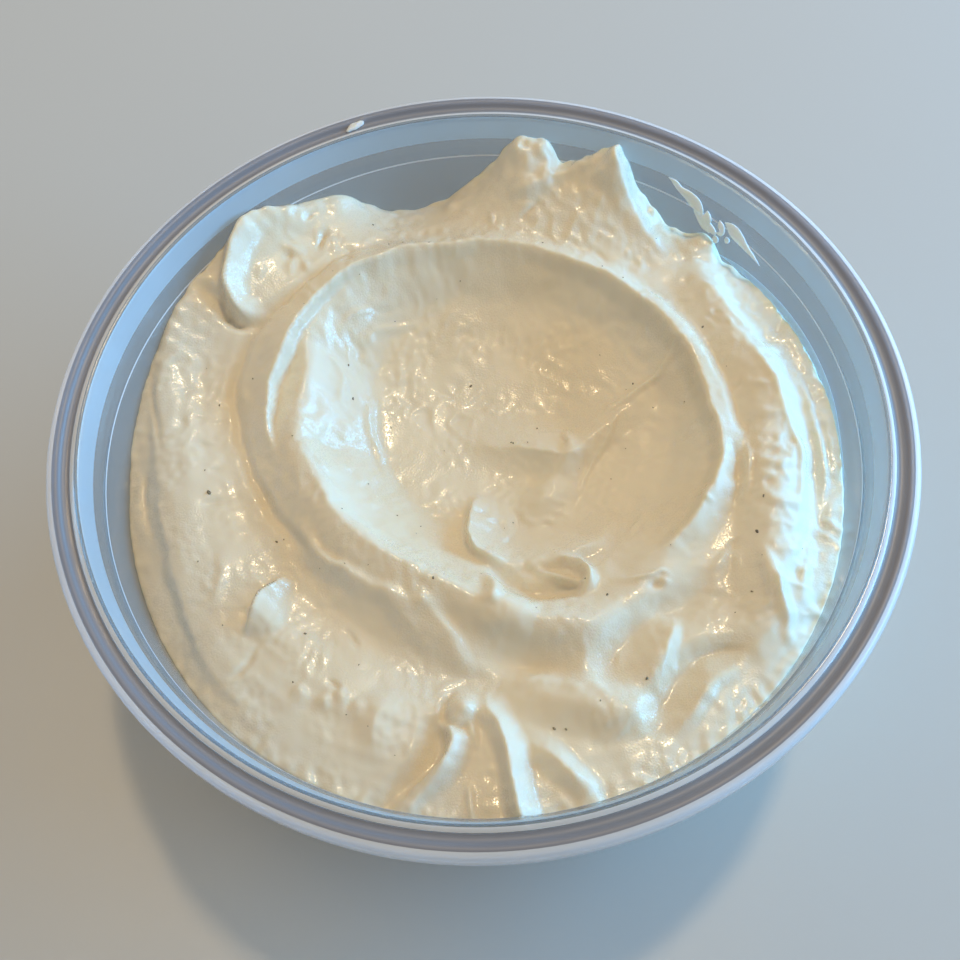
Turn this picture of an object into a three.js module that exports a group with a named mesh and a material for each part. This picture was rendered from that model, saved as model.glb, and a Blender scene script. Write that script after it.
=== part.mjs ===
// A round clear deli tub filled with a thick, spoon-swirled tzatziki dip.
// Millimetres, +Z up. The origin is the centre of the tub's base, on the surface it stands on.

import * as THREE from 'three';

// ---------------------------------------------------------------------------
// Driving dimensions
// ---------------------------------------------------------------------------

// tub
const RIM_RADIUS = 58.5;          // outside of the rolled rim
const TUB_HEIGHT = 45;            // top of the rolled rim
const WALL = 0.8;                 // thickness of the plastic
const WALL_TAPER = 12;            // degrees that the lower wall leans outwards
const LEDGE_RADIUS = 51.8;        // inside of the wall, just under the stacking ledge
const LEDGE_HEIGHT = 38.6;
const CORNER_RADIUS = 5;          // inside corner between wall and floor
const FLOOR_HEIGHT = 1.4;         // top of the tub's floor
const FOOT_RADIUS = 39.4;         // outside of the foot ring
const FOOT_WIDTH = 4;
const FOOT_RECESS = 0.6;          // how far the base is raised inside the foot ring
const TUB_SIDES = 60;

// dip
const GAP = 0.3;                  // between the dip and the plastic
const LEVEL = 34.2;               // height of the dip where it is level
const RINGS = 36;                 // rings of triangles across the top of the dip
const SECTORS = 6;                // each ring has this many more points than the one inside it
const BLEND_START = 37;           // radius where the surface starts to bend to its edge height
const BLEND_END = 50.6;
const BLEND_POWER = 1.7;
const COLLAR = 1.5;               // depth of the first row of faces under the dip's edge
const NARROWEST = 2.8;            // narrowest side of a ridge that the triangles can follow
const CREST_SHARPNESS = 0.5;      // share of a crest's sharpness that they can follow
const SCOOP_RELEASE = 1.25;       // how far past the scoop's rim its height is felt, in rim radii
const RIM_ROUNDING = 0.12;        // share of the scoop's depth over which its rim is rounded off

const degrees = THREE.MathUtils.degToRad;
const clamp = THREE.MathUtils.clamp;
const smoothstep = THREE.MathUtils.smoothstep;

// ---------------------------------------------------------------------------
// Tub
// ---------------------------------------------------------------------------

// Inside radius of the tub at a height above the corner.
function wallRadius(z) {
  if (z <= LEDGE_HEIGHT) {
    return LEDGE_RADIUS - (LEDGE_HEIGHT - z) * Math.tan(degrees(WALL_TAPER));
  }
  const funnel = [[LEDGE_RADIUS, LEDGE_HEIGHT], [52.5, 39.9], [52.8, 40.9], [53.95, 44.5]];
  for (let i = 1; i < funnel.length; i += 1) {
    const [lowRadius, low] = funnel[i - 1];
    const [highRadius, high] = funnel[i];
    if (z <= high) {
      return lowRadius + (highRadius - lowRadius) * (z - low) / (high - low);
    }
  }
  return funnel.at(-1)[0];
}

// Centre of the round corner between wall and floor.
const cornerHeight = FLOOR_HEIGHT + CORNER_RADIUS;
const cornerCentre = wallRadius(cornerHeight) - CORNER_RADIUS / Math.cos(degrees(WALL_TAPER));

// Points of the corner from the wall down to the floor, at a distance from its centre.
function cornerArc(radius, steps) {
  const points = [];
  for (let i = 0; i <= steps; i += 1) {
    const angle = degrees(-WALL_TAPER - (90 - WALL_TAPER) * i / steps);
    points.push([cornerCentre + radius * Math.cos(angle), cornerHeight + radius * Math.sin(angle)]);
  }
  return points;
}

function tubProfile() {
  const footInside = FOOT_RADIUS - FOOT_WIDTH;
  const underside = [
    [0, FOOT_RECESS],
    [footInside - FOOT_RECESS, FOOT_RECESS],
    [footInside, 0],
    [FOOT_RADIUS, 0],
  ];
  const outside = cornerArc(CORNER_RADIUS + WALL, 4).reverse();
  const underRim = [
    [LEDGE_RADIUS + WALL, LEDGE_HEIGHT - 0.2],
    [53.6, 40.7],
    [54.7, 43.3],
    [56.2, 43.6],
    [57.1, 44.2],
    [57.7, 43.7],
    [57.6, 41.6],
  ];
  const rim = [
    [58.35, 41.6],
    [RIM_RADIUS, 44],
    [58.2, 44.7],
    [57.4, TUB_HEIGHT],
    [56.75, 44.9],
    [56.3, 44.4],
    [55.5, 44.3],
    [54.9, 44.8],
    [54.3, 44.9],
    [53.95, 44.5],
  ];
  const ledge = [
    [52.8, 40.9],
    [52.5, 39.9],
    [LEDGE_RADIUS, LEDGE_HEIGHT],
  ];
  const inside = cornerArc(CORNER_RADIUS, 4);
  const floor = [[0, FLOOR_HEIGHT]];
  const points = [...underside, ...outside, ...underRim, ...rim, ...ledge, ...inside, ...floor];
  return points.map(([radius, z]) => new THREE.Vector2(radius, z));
}

function makeTub() {
  const geometry = new THREE.LatheGeometry(tubProfile(), TUB_SIDES);
  geometry.rotateX(Math.PI / 2);
  const plastic = new THREE.MeshStandardMaterial({
    color: 0xd8e0e4,
    roughness: 0.25,
    metalness: 0,
    transparent: true,
    opacity: 0.35,
  });
  const mesh = new THREE.Mesh(geometry, plastic);
  mesh.name = 'tub';
  return mesh;
}

// ---------------------------------------------------------------------------
// Dip: the surface that the spoon left
// ---------------------------------------------------------------------------

// Height at which the dip meets the tub's wall, by direction: [degrees from +X, height].
const EDGE = [
  [-175, 31.4], [-165, 30.8], [-150, 30.8], [-138, 32.6], [-120, 33.7], [-90, 34.6],
  [-60, 34.4], [-20, 32.8], [-6, 32.2], [6, 33.4], [32, 33.6], [41, 32.8],
  [43.5, 35.2], [46, 35.5], [48, 33.9], [53, 33.1], [59, 37.4], [62.4, 41.6], [63.8, 42.9],
  [65, 41.6], [69, 39.6], [73.5, 38.2], [75.5, 41.6], [80.5, 42], [85, 37.3], [89, 33.8],
  [93, 30.7], [99, 29.1], [105, 30.8], [112, 36.6], [125, 39.4], [130, 40],
  [141, 38.3], [154, 35.8], [164, 34.2], [178, 31.7],
];

// Soft swells and hollows: x, y, half lengths along and across, turn in degrees, height.
const SWELLS = [
  { at: [-27, 33], size: [15, 12], turn: 25, height: 2.4 },   // far left heap
  { at: [-27.5, 38], size: [8, 6], turn: 25, height: -1.6 },  // spoon hollow in that heap
  { at: [14, 41], size: [20, 9], turn: 0, height: 1.8 },      // heap against the far wall
  { at: [10, 46.8], size: [3.6, 3], turn: 0, height: 2.4 },   // flat top of the far peak
  { at: [-2.4, 46.8], size: [1.2, 1.6], turn: 0, height: 2 }, // nub beside the far peak
  { at: [-42, 3], size: [5, 22], turn: 6, height: 0.3 },      // long swell on the left
  { at: [5, 10], size: [4.5, 5], turn: 0, height: 1.1 },      // swell behind the wave
  { at: [8, -24.5], size: [9, 4.5], turn: -12, height: 1.2 }, // bank in front of the pocket
  { at: [14, -34.5], size: [7, 4], turn: -15, height: 0.8 },  // near right
  { at: [-4.3, -36], size: [2.2, 2], turn: 0, height: 2.3 },  // round blob
];

// The scoop: the lowest point of its floor, and the rim around it, as [x, y, height].
const SCOOP_FLOOR = [2.5, 7, 26.4];
const SCOOP_RIM = [
  [-25.4, 4.6, 35], [-25.2, 10.6, 35.2], [-24.8, 17.1, 35.4], [-24.6, 21.6, 35.6],
  [-23, 26.4, 35.6], [-19.6, 30.4, 35.6], [-15, 33.6, 35.5], [-8, 35.4, 35.4], [2, 35.6, 35.2],
  [12, 33.4, 35.2], [20.5, 29, 35], [28, 21.6, 34.8], [32, 13, 34.6], [33, 3, 34.6],
  [30.5, -7, 34.4], [24, -14.5, 34.2], [15, -19, 34], [6, -21.6, 34.2], [-3, -19.4, 34.8],
  [-11.4, -14.8, 34.9], [-17.5, -9.6, 34.9], [-22.3, -2.6, 35],
];

// Ridges (height above 0) and grooves (below 0) drawn by the spoon. A path's points are
// [x, y, height]; left and right are the width of each side and how sharp the crest is there,
// from 0, round, to 1, a knife edge. Left and right are as seen walking along the path.
const STROKES = [
  { // lip on the left of the scoop
    path: [[-29.4, 3, 0], [-30.2, 9, 1.3], [-29.9, 13.2, 2], [-28.9, 17, 2.3], [-27.3, 20.8, 2.5],
      [-24.9, 25.4, 2.5], [-21.8, 29.4, 2.4], [-17.6, 33.2, 1.4], [-11, 36.2, 0]],
    left: [5.6, 0.4], right: [0.9, 0.6],
  },
  { // lip on the far side of the scoop and down its right side
    path: [[-21.8, 29.4, 0], [-17.6, 33.2, 0.9], [-11, 36.2, 1.7], [-3, 37, 1.8], [5, 36.8, 1.7],
      [13, 34, 1.8], [20.2, 29.6, 2], [26, 24, 2.1], [30.6, 16.3, 2.2], [33, 6.3, 2.3],
      [33.6, 0, 2.4], [31.8, -6.5, 2.4], [26.3, -13.6, 1.5], [18, -18, 0]],
    left: [3.6, 0.6], right: [2, 0.3],
  },
  { // bank on the near left of the scoop
    path: [[-25.4, 12, 0], [-25.6, 6, 1.2], [-22.8, -3.7, 2], [-18, -10.7, 2.4],
      [-11.6, -15.8, 2.4], [-5, -20, 2.1], [1, -22.5, 1.6], [6, -24.5, 0]],
    left: [4, 0], right: [11, 0.35],
  },
  { // trough outside that bank
    path: [[-36, 24, 0], [-34.8, 14, -0.7], [-31, -3, -0.9], [-20.5, -21, -1.3], [-5, -31, -1.6],
      [5, -30, -1.3], [12, -29, 0]],
    left: [6, 0], right: [9, 0.1],
  },
  { // valley between that bank and the bank in front of the pocket
    path: [[-8.6, -21, 0], [-6, -23.6, -0.7], [-1.8, -26.9, -1.2], [3.3, -29.2, -1.3],
      [8, -30.4, -0.9], [12, -31, 0]],
    left: [3.6, 0.1], right: [3.2, 0.1],
  },
  { // step down to the band along the left wall
    path: [[-38.3, 34.8, 0], [-43, 28.8, 0.7], [-45.2, 23, 0.8], [-46.2, 15, 0.8], [-46.3, 8, 0.8],
      [-45.2, -5, 0.9], [-39.6, -24, 0.9], [-31, -37, 0]],
    left: [8, 0.1], right: [1.6, 0.5],
  },
  { // rolled lip of the far left heap
    path: [[-23, 44, 0], [-29.6, 42.6, 1.6], [-33.6, 39.7, 2.4], [-35.5, 34.8, 2.8],
      [-35.9, 31.5, 3], [-35.3, 28.7, 2.8], [-33.9, 26.8, 2], [-32, 25.2, 0]],
    left: [3.4, 0.3], right: [1.6, 0.3],
  },
  { // bank on the right, falling to the wall
    path: [[34, 33, 0], [35.8, 27, 2.2], [38.4, 20, 3], [40.5, 14.3, 3.4], [41.8, 8.8, 3.6],
      [42, 3.5, 3.7], [41.3, -2.2, 3.5], [40.6, -7.5, 3.3], [40, -12, 3.2], [39.2, -18, 2.8],
      [36.6, -26.5, 1.2], [33, -34, 0]],
    left: [6.4, 0.15], right: [6.5, 0],
  },
  { // ridge between the two far peaks
    path: [[11, 46.6, 0], [14.9, 46.8, 1.1], [17.6, 47.7, 1.3], [20.5, 48.2, 0.8], [23.4, 49.4, 0]],
    left: [2.2, 0.4], right: [3, 0.3],
  },
  { // crest from the far right peak down to the bank
    path: [[22.8, 50.5, 0.4], [22.6, 46.5, 1.4], [23.6, 43, 1.4], [25.6, 39.8, 1.2],
      [27.8, 36, 0.8], [29.4, 33, 0]],
    left: [2.8, 0.5], right: [3, 0.2],
  },
  { // wave in the middle of the scoop, up to its tip
    path: [[-6, 8.4, 0], [-2, 7.6, 0.3], [2, 6.6, 1.3], [6, 5.6, 2.2], [10, 4.5, 2.7],
      [12.6, 3.5, 2.5], [15, 3.6, 0]],
    left: [7, 0.3], right: [4.4, 0.75],
  },
  { // the same wave beyond the tip
    path: [[11.4, 3.8, 0], [13.2, 3.7, 1.4], [15.4, 5.5, 2.2], [20, 9.3, 1.3], [24.7, 12.7, 0.8],
      [30.8, 19.8, 0]],
    left: [5, 0.3], right: [3.6, 0.5],
  },
  { // spur that runs down from the tip
    path: [[12.9, 3, 0], [11.6, 1.6, 1], [10.4, -0.3, 1.5], [8.8, -2.6, 1.5], [7.6, -4.6, 0.9],
      [7.4, -7, 0]],
    left: [5.2, 0.2], right: [3.6, 0],
  },
  { // left edge of the lower sheet
    path: [[-0.6, -1.2, 0], [-1.6, -4, 2.2], [-2.1, -7, 3.5], [-1.9, -9.6, 3.5], [-1.1, -11.6, 2.7],
      [0.5, -13.2, 2], [3, -13.8, 0]],
    left: [7, 1], right: [1.6, 0.5],
  },
  { // front edge of the lower sheet
    path: [[-1, -13.8, 0], [2.4, -14.2, 0.9], [5.6, -14, 1.4], [9.7, -13.2, 1.7], [13, -12.9, 1.7],
      [15.4, -11.6, 1.2], [16.8, -9.4, 0.8], [18.2, -7, 0]],
    left: [5, 0.3], right: [2, 0.4],
  },
  { // pocket in front of the lower sheet
    path: [[-0.5, -14.8, 0], [1.9, -17, -1.4], [4.8, -18.8, -1.8], [9.6, -19.6, -1.8],
      [13.8, -19.4, 0]],
    left: [2.5, 0], right: [2.5, 0],
  },
  { // bank in front of the pocket, running up to the right
    path: [[-2, -21, 0], [3, -23, 1.2], [9, -25, 1.4], [14, -24.6, 1.3], [18.6, -21.8, 1],
      [24, -18.6, 0.7], [30, -15.4, 0]],
    left: [3.6, 0.1], right: [4.4, 0.1],
  },
  { // trough on the near right
    path: [[31, -20.6, 0], [26.4, -22.6, -0.8], [21.9, -25, -1.2], [17.5, -27.8, -1.5],
      [14.6, -31.6, -1.4], [12.6, -34.4, 0]],
    left: [4.8, 0.1], right: [3.6, 0.1],
  },
  { // short crest beyond that trough
    path: [[24.2, -24.4, 0], [23.6, -26.8, 1.1], [23, -29, 1.3], [22, -32.4, 1.1],
      [20.4, -35.6, 0]],
    left: [1.8, 0.4], right: [6, 0.1],
  },
  { // trough on the other side of that crest
    path: [[34.4, -30, 0], [30.4, -30.4, -0.6], [26.2, -31.4, -1], [22.9, -34.5, -1.4],
      [20.4, -37.9, -1.2], [18.9, -41.2, 0]],
    left: [4, 0.1], right: [2.8, 0.1],
  },
  { // fin on the left
    path: [[-27.4, -15.2, 0], [-28.6, -16.6, 1.6], [-30.3, -18.6, 2.4], [-31.6, -20.9, 2.4],
      [-33, -24, 0]],
    left: [2.4, 0.8], right: [1.1, 0.6],
  },
  { // wave at the near wall
    path: [[-1.3, -33.5, 0], [-1.3, -36.6, 1.5], [-0.4, -38.6, 2.1], [0.5, -41, 2.5], [1, -44, 2.8],
      [1.4, -48, 2.8], [1.8, -51, 2.6]],
    left: [3.2, 0.35], right: [1.8, 0.5],
  },
  { // second wave, to its right
    path: [[2, -39.8, 0], [5.2, -42.4, 1.1], [7.3, -44.2, 1.5], [9.3, -46.5, 1.5],
      [10.8, -48.8, 0.8]],
    left: [2.6, 0.2], right: [2.6, 0.3],
  },
  { // curved wave, to its left
    path: [[-6.6, -37, 0], [-6, -38.9, 1.7], [-5.7, -40.6, 2.3], [-6.8, -43.1, 2.4],
      [-9, -45.1, 2.2], [-12, -47.5, 1.2], [-14, -49, 0.6]],
    left: [2.6, 0.4], right: [1.6, 0.4],
  },
  { // groove behind the curved wave
    path: [[-7.8, -36.4, 0], [-7.6, -39.3, -1.6], [-7.9, -41.5, -1.8], [-9.2, -44, -1.8],
      [-11.4, -46.2, -1.6], [-14.8, -48.8, -0.8]],
    left: [1.8, 0.2], right: [3.8, 0.1],
  },
  { // broad ridge between the waves and the near right
    path: [[0.6, -32.4, 0], [4.2, -34.2, 0.8], [8.5, -36, 1.3], [13.2, -37.4, 1.5],
      [17.2, -38.7, 1.3], [18.6, -41.1, 0]],
    left: [4.6, 0.1], right: [4.4, 0],
  },
];

// Smooth curve through control points of any dimension, as a list of sampled points.
function throughPoints(points, steps, closed) {
  const count = points.length;
  const at = (i) => {
    if (closed) {
      return points[(i + count) % count];
    }
    return points[clamp(i, 0, count - 1)];
  };
  const spans = closed ? count : count - 1;
  const samples = [];
  for (let span = 0; span < spans; span += 1) {
    for (let step = 0; step < steps; step += 1) {
      const t = step / steps;
      samples.push(at(span).map((value, axis) => {
        const before = at(span - 1)[axis];
        const next = at(span + 1)[axis];
        const after = at(span + 2)[axis];
        const slope = (next - before) * t;
        const bend = (2 * before - 5 * value + 4 * next - after) * t * t;
        const twist = (3 * value - before - 3 * next + after) * t * t * t;
        return value + 0.5 * (slope + bend + twist);
      }));
    }
  }
  if (!closed) {
    samples.push(points.at(-1));
  }
  return samples;
}

const strokeLines = STROKES.map((stroke) => throughPoints(stroke.path, 6, false));

// Height of a stroke's side at a fraction of its width away from the crest.
function falloff(fraction, sharpness) {
  const t = clamp(fraction, 0, 1);
  return (1 - t) * (1 - t) * (1 + 2 * t * (1 - sharpness));
}

function strokeHeight(index, x, y) {
  const { left, right } = STROKES[index];
  const line = strokeLines[index];
  let nearest = Infinity;
  let crest = 0;
  let onLeft = true;
  for (let i = 1; i < line.length; i += 1) {
    const [ax, ay, aHeight] = line[i - 1];
    const [bx, by, bHeight] = line[i];
    const [dx, dy] = [bx - ax, by - ay];
    const t = clamp(((x - ax) * dx + (y - ay) * dy) / (dx * dx + dy * dy), 0, 1);
    const [offX, offY] = [x - ax - t * dx, y - ay - t * dy];
    const distance = Math.hypot(offX, offY);
    if (distance < nearest) {
      nearest = distance;
      crest = aHeight + t * (bHeight - aHeight);
      onLeft = dx * offY - dy * offX >= 0;
    }
  }
  const [width, sharpness] = onLeft ? left : right;
  return crest * falloff(nearest / Math.max(width, NARROWEST), sharpness * CREST_SHARPNESS);
}

// Value of a closed list of [angle, value] at an angle, both in radians and rising.
function around(list, angle) {
  const turn = 2 * Math.PI;
  const last = list.at(-1);
  let [fromAngle, fromValue] = [last[0] - turn, last[1]];
  for (const [toAngle, toValue] of [...list, [list[0][0] + turn, list[0][1]]]) {
    if (angle <= toAngle) {
      return fromValue + (toValue - fromValue) * (angle - fromAngle) / (toAngle - fromAngle);
    }
    [fromAngle, fromValue] = [toAngle, toValue];
  }
  return fromValue;
}

const edgeByAngle = EDGE.map(([angle, height]) => [degrees(angle), height]);

const rimPoints = throughPoints(SCOOP_RIM, 6, true)
  .map(([x, y, height]) => [x - SCOOP_FLOOR[0], y - SCOOP_FLOOR[1], height])
  .sort((a, b) => Math.atan2(a[1], a[0]) - Math.atan2(b[1], b[0]));
const rimRadius = rimPoints.map(([x, y]) => [Math.atan2(y, x), Math.hypot(x, y)]);
const rimHeight = rimPoints.map(([x, y, height]) => [Math.atan2(y, x), height]);

// Edge height, averaged over a fan of directions that widens towards the middle.
function edgeHeight(angle, radius) {
  const spread = degrees(0.8 + 1.3 * clamp(50.5 - radius, 0, 14));
  let total = 0;
  let weights = 0;
  for (let k = -4; k <= 4; k += 1) {
    const weight = 5 - Math.abs(k);
    const turned = angle + 0.3 * k * spread;
    total += weight * around(edgeByAngle, Math.atan2(Math.sin(turned), Math.cos(turned)));
    weights += weight;
  }
  return total / weights;
}

function swellHeight(swell, x, y) {
  const turn = degrees(swell.turn);
  const [dx, dy] = [x - swell.at[0], y - swell.at[1]];
  const along = (dx * Math.cos(turn) + dy * Math.sin(turn)) / swell.size[0];
  const across = (dy * Math.cos(turn) - dx * Math.sin(turn)) / swell.size[1];
  return swell.height * Math.exp(-1.2 * (along * along + across * across));
}

// The scoop's wall is a broad slope on the left and a short steep one on the right.
function withScoop(ground, x, y) {
  const [dx, dy] = [x - SCOOP_FLOOR[0], y - SCOOP_FLOOR[1]];
  const angle = Math.atan2(dy, dx);
  const reach = Math.hypot(dx, dy) / around(rimRadius, angle);
  const rim = around(rimHeight, angle);
  const towards = (direction) => Math.max(0, Math.cos(angle - degrees(direction)));
  const wallFoot = 0.84 - 0.24 * towards(195) - 0.22 * towards(285) ** 3;
  const rounding = 0.03;
  const pastFoot = reach - wallFoot;
  const wall = (Math.hypot(pastFoot, rounding) + pastFoot) / 2 / (1 - wallFoot);
  const bowl = 0.4 - 0.28 * towards(195) + 0.2 * towards(90) + 0.1 * towards(0);
  const rise = bowl * reach * reach + (1 - bowl) * wall;
  const capped = (1 + rise - Math.hypot(1 - rise, RIM_ROUNDING)) / 2;
  const scoop = SCOOP_FLOOR[2] + (rim - SCOOP_FLOOR[2]) * capped;
  const away = smoothstep(reach, 1, SCOOP_RELEASE);
  return ground * away + scoop * (1 - away);
}

function surfaceHeight(x, y) {
  const radius = Math.hypot(x, y);
  let height = LEVEL;
  for (const swell of SWELLS) {
    height += swellHeight(swell, x, y);
  }
  height = withScoop(height, x, y);
  const blend = clamp((radius - BLEND_START) / (BLEND_END - BLEND_START), 0, 1) ** BLEND_POWER;
  if (blend > 0) {
    height += blend * (edgeHeight(Math.atan2(y, x), radius) - height);
  }
  STROKES.forEach((_, index) => {
    height += strokeHeight(index, x, y);
  });
  return height;
}

// ---------------------------------------------------------------------------
// Dip: the solid under that surface
// ---------------------------------------------------------------------------

// Radius of the dip at the wall in a direction, where its surface meets the tub.
function edgeRadius(angle) {
  let radius = LEDGE_RADIUS;
  for (let i = 0; i < 4; i += 1) {
    const height = surfaceHeight(radius * Math.cos(angle), radius * Math.sin(angle));
    radius = wallRadius(height) - GAP;
  }
  return radius;
}

// Rings of points from the centre out, then down the wall and round the corner to the floor.
function dipPoints() {
  const points = [[0, 0, surfaceHeight(0, 0)]];
  const ringSize = RINGS * SECTORS;
  for (let ring = 1; ring <= RINGS; ring += 1) {
    const count = ring * SECTORS;
    for (let i = 0; i < count; i += 1) {
      const angle = 2 * Math.PI * i / count;
      const radius = edgeRadius(angle) * ring / RINGS;
      const [x, y] = [radius * Math.cos(angle), radius * Math.sin(angle)];
      points.push([x, y, surfaceHeight(x, y)]);
    }
  }
  const edge = points.slice(-ringSize);
  const corner = cornerArc(CORNER_RADIUS - GAP, 2);
  const walk = (row) => {
    for (let i = 0; i < ringSize; i += 1) {
      const angle = 2 * Math.PI * i / ringSize;
      const [radius, z] = row(i);
      points.push([radius * Math.cos(angle), radius * Math.sin(angle), z]);
    }
  };
  walk((i) => {
    const z = Math.min(LEDGE_HEIGHT, edge[i][2] - COLLAR);
    return [wallRadius(z) - GAP, z];
  });
  corner.forEach((row) => walk(() => row));
  points.push([0, 0, FLOOR_HEIGHT + GAP]);
  return { points, walls: corner.length + 1, ringSize };
}

function dipTriangles(walls, ringSize, pointCount) {
  const triangles = [];
  const start = (ring) => (ring === 0 ? 0 : 1 + SECTORS * ring * (ring - 1) / 2);
  const point = (ring, i) => (ring === 0 ? 0 : start(ring) + i % (SECTORS * ring));
  for (let ring = 0; ring < RINGS; ring += 1) {
    for (let sector = 0; sector < SECTORS; sector += 1) {
      for (let i = 0; i <= ring; i += 1) {
        const inner = sector * ring + i;
        const outer = sector * (ring + 1) + i;
        triangles.push(point(ring, inner), point(ring + 1, outer), point(ring + 1, outer + 1));
        if (i < ring) {
          triangles.push(point(ring, inner), point(ring + 1, outer + 1), point(ring, inner + 1));
        }
      }
    }
  }
  const last = start(RINGS);
  for (let row = 0; row < walls; row += 1) {
    for (let i = 0; i < ringSize; i += 1) {
      const next = (i + 1) % ringSize;
      const top = last + row * ringSize;
      const bottom = top + ringSize;
      triangles.push(top + i, bottom + i, top + next);
      triangles.push(top + next, bottom + i, bottom + next);
    }
  }
  const lowest = last + walls * ringSize;
  for (let i = 0; i < ringSize; i += 1) {
    triangles.push(pointCount - 1, lowest + (i + 1) % ringSize, lowest + i);
  }
  return triangles;
}

function makeDip() {
  const { points, walls, ringSize } = dipPoints();
  const geometry = new THREE.BufferGeometry();
  geometry.setAttribute('position', new THREE.Float32BufferAttribute(points.flat(), 3));
  geometry.setIndex(dipTriangles(walls, ringSize, points.length));
  geometry.computeVertexNormals();
  const cream = new THREE.MeshStandardMaterial({ color: 0xefe6d2, roughness: 0.4, metalness: 0 });
  const mesh = new THREE.Mesh(geometry, cream);
  mesh.name = 'dip';
  return mesh;
}

const group = new THREE.Group();
group.add(makeTub(), makeDip());

export default group;
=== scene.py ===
"""A round clear deli tub of thick, spoon-swirled tzatziki dip.

Shapes are worked out in millimetres, z up, from the centre of the tub's base, and become metres
when a mesh gets its points. Directions are in degrees from +X, seen from above.
"""

import math

import bmesh
import bpy
import numpy as np
from bpy.props import FloatProperty, FloatVectorProperty, IntProperty, PointerProperty
from bpy.types import Operator, Panel, PropertyGroup
from mathutils import Matrix, Vector


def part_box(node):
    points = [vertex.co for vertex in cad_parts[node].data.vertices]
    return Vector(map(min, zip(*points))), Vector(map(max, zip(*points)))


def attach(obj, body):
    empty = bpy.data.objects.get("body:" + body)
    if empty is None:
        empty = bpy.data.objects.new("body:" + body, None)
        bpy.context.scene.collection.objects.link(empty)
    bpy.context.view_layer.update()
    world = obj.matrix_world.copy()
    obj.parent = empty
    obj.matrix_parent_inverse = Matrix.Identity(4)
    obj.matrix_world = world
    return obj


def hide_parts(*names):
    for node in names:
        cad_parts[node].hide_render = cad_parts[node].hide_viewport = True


bl_info = {
    "name": "Tzatziki dip in a clear tub",
    "version": (1, 0, 0),
    "blender": (4, 5, 0),
    "location": "View3D > Sidebar > Dip tub",
    "description": "Models a clear deli tub of swirled dip, its specks, smears and studio",
    "category": "Object",
}

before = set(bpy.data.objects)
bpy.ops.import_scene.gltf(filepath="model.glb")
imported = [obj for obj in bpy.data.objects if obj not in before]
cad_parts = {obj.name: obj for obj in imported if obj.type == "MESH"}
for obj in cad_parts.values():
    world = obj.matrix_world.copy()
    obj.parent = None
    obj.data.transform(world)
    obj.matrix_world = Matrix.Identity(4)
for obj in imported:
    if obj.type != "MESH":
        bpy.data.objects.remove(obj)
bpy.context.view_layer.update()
tub_low, tub_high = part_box("tub")

MM = 0.001  # metres in a millimetre

# ----- Sizes of the tub, in millimetres -----

RIM_RADIUS = (tub_high[0] - tub_low[0]) / 2 / MM
TUB_HEIGHT = tub_high[2] / MM
WALL = 0.8
WALL_TAPER = math.radians(12)
LEDGE_RADIUS = 51.8
LEDGE_HEIGHT = 38.6
CORNER_RADIUS = 5
FLOOR_HEIGHT = 1.4
FOOT_RADIUS = 39.4
FOOT_WIDTH = 4
FOOT_RECESS = 0.6
FUNNEL = [(LEDGE_RADIUS, LEDGE_HEIGHT), (52.5, 39.9), (52.8, 40.9), (53.95, 44.5)]

# The rim from the top of its inner bead out over the flange and the outer bead, then back under
# it to the wall.
RIM = [
    (54.3, 44.9), (54.9, 44.8), (55.5, 44.3), (56.3, 44.4), (56.75, 44.9), (57.4, TUB_HEIGHT),
    (58.2, 44.7), (RIM_RADIUS, 44), (58.35, 41.6), (57.6, 41.6), (57.7, 43.7), (57.1, 44.2),
    (56.2, 43.6), (54.7, 43.3), (53.6, 40.7), (LEDGE_RADIUS + WALL, LEDGE_HEIGHT - 0.2),
]


def wall_radius(z):
    """Inside radius of the tub at heights above its corner."""
    straight = LEDGE_RADIUS - (LEDGE_HEIGHT - z) * math.tan(WALL_TAPER)
    funnel = np.interp(z, [p[1] for p in FUNNEL], [p[0] for p in FUNNEL])
    return np.where(z <= LEDGE_HEIGHT, straight, funnel)


CORNER_HEIGHT = FLOOR_HEIGHT + CORNER_RADIUS
CORNER_CENTRE = float(wall_radius(CORNER_HEIGHT)) - CORNER_RADIUS / math.cos(WALL_TAPER)


def corner_arc(radius, steps):
    """Points of the corner from the wall down to the floor, at a distance from its centre."""
    turns = np.linspace(-WALL_TAPER, -math.pi / 2, steps + 1)
    return [
        (CORNER_CENTRE + radius * math.cos(a), CORNER_HEIGHT + radius * math.sin(a)) for a in turns
    ]


# ----- Sizes of the dip, in millimetres -----

LEVEL = 34.2  # height of the dip where it is level
BLEND_START = 37  # radius where the surface starts to bend to its edge height
BLEND_END = 50.6
BLEND_POWER = 1.7
EDGE_RADIUS = 50.5  # radius of the dip's edge, about
RAGGED_EDGE = 0.25  # how ragged that edge is
PEAKS = 66  # direction of the two far peaks, where it is more ragged
WOBBLE = 0.3  # how far the spoon's lines wander to either side
INTO_WALL = 0.1  # how far the dip reaches into the plastic

# Height at which the dip meets the tub's wall, by direction: (direction, height).
EDGE = [
    (-175, 31.4), (-165, 30.8), (-150, 30.8), (-138, 32.6), (-120, 33.7), (-90, 34.6),
    (-60, 34.4), (-20, 32.8), (-6, 32.2), (6, 33.4), (32, 33.6), (41, 32.8),
    (43.5, 35.2), (46, 35.5), (48, 33.9), (53, 33.1), (59, 37.4), (62.4, 41.6), (63.8, 42.9),
    (65, 41.6), (69, 39.6), (73.5, 38.2), (75.5, 41.6), (80.5, 42), (85, 37.3), (89, 33.8),
    (93, 30.7), (99, 29.1), (105, 30.8), (112, 36.6), (125, 39.4), (130, 40),
    (141, 38.3), (154, 35.8), (164, 34.2), (178, 31.7),
]

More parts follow.
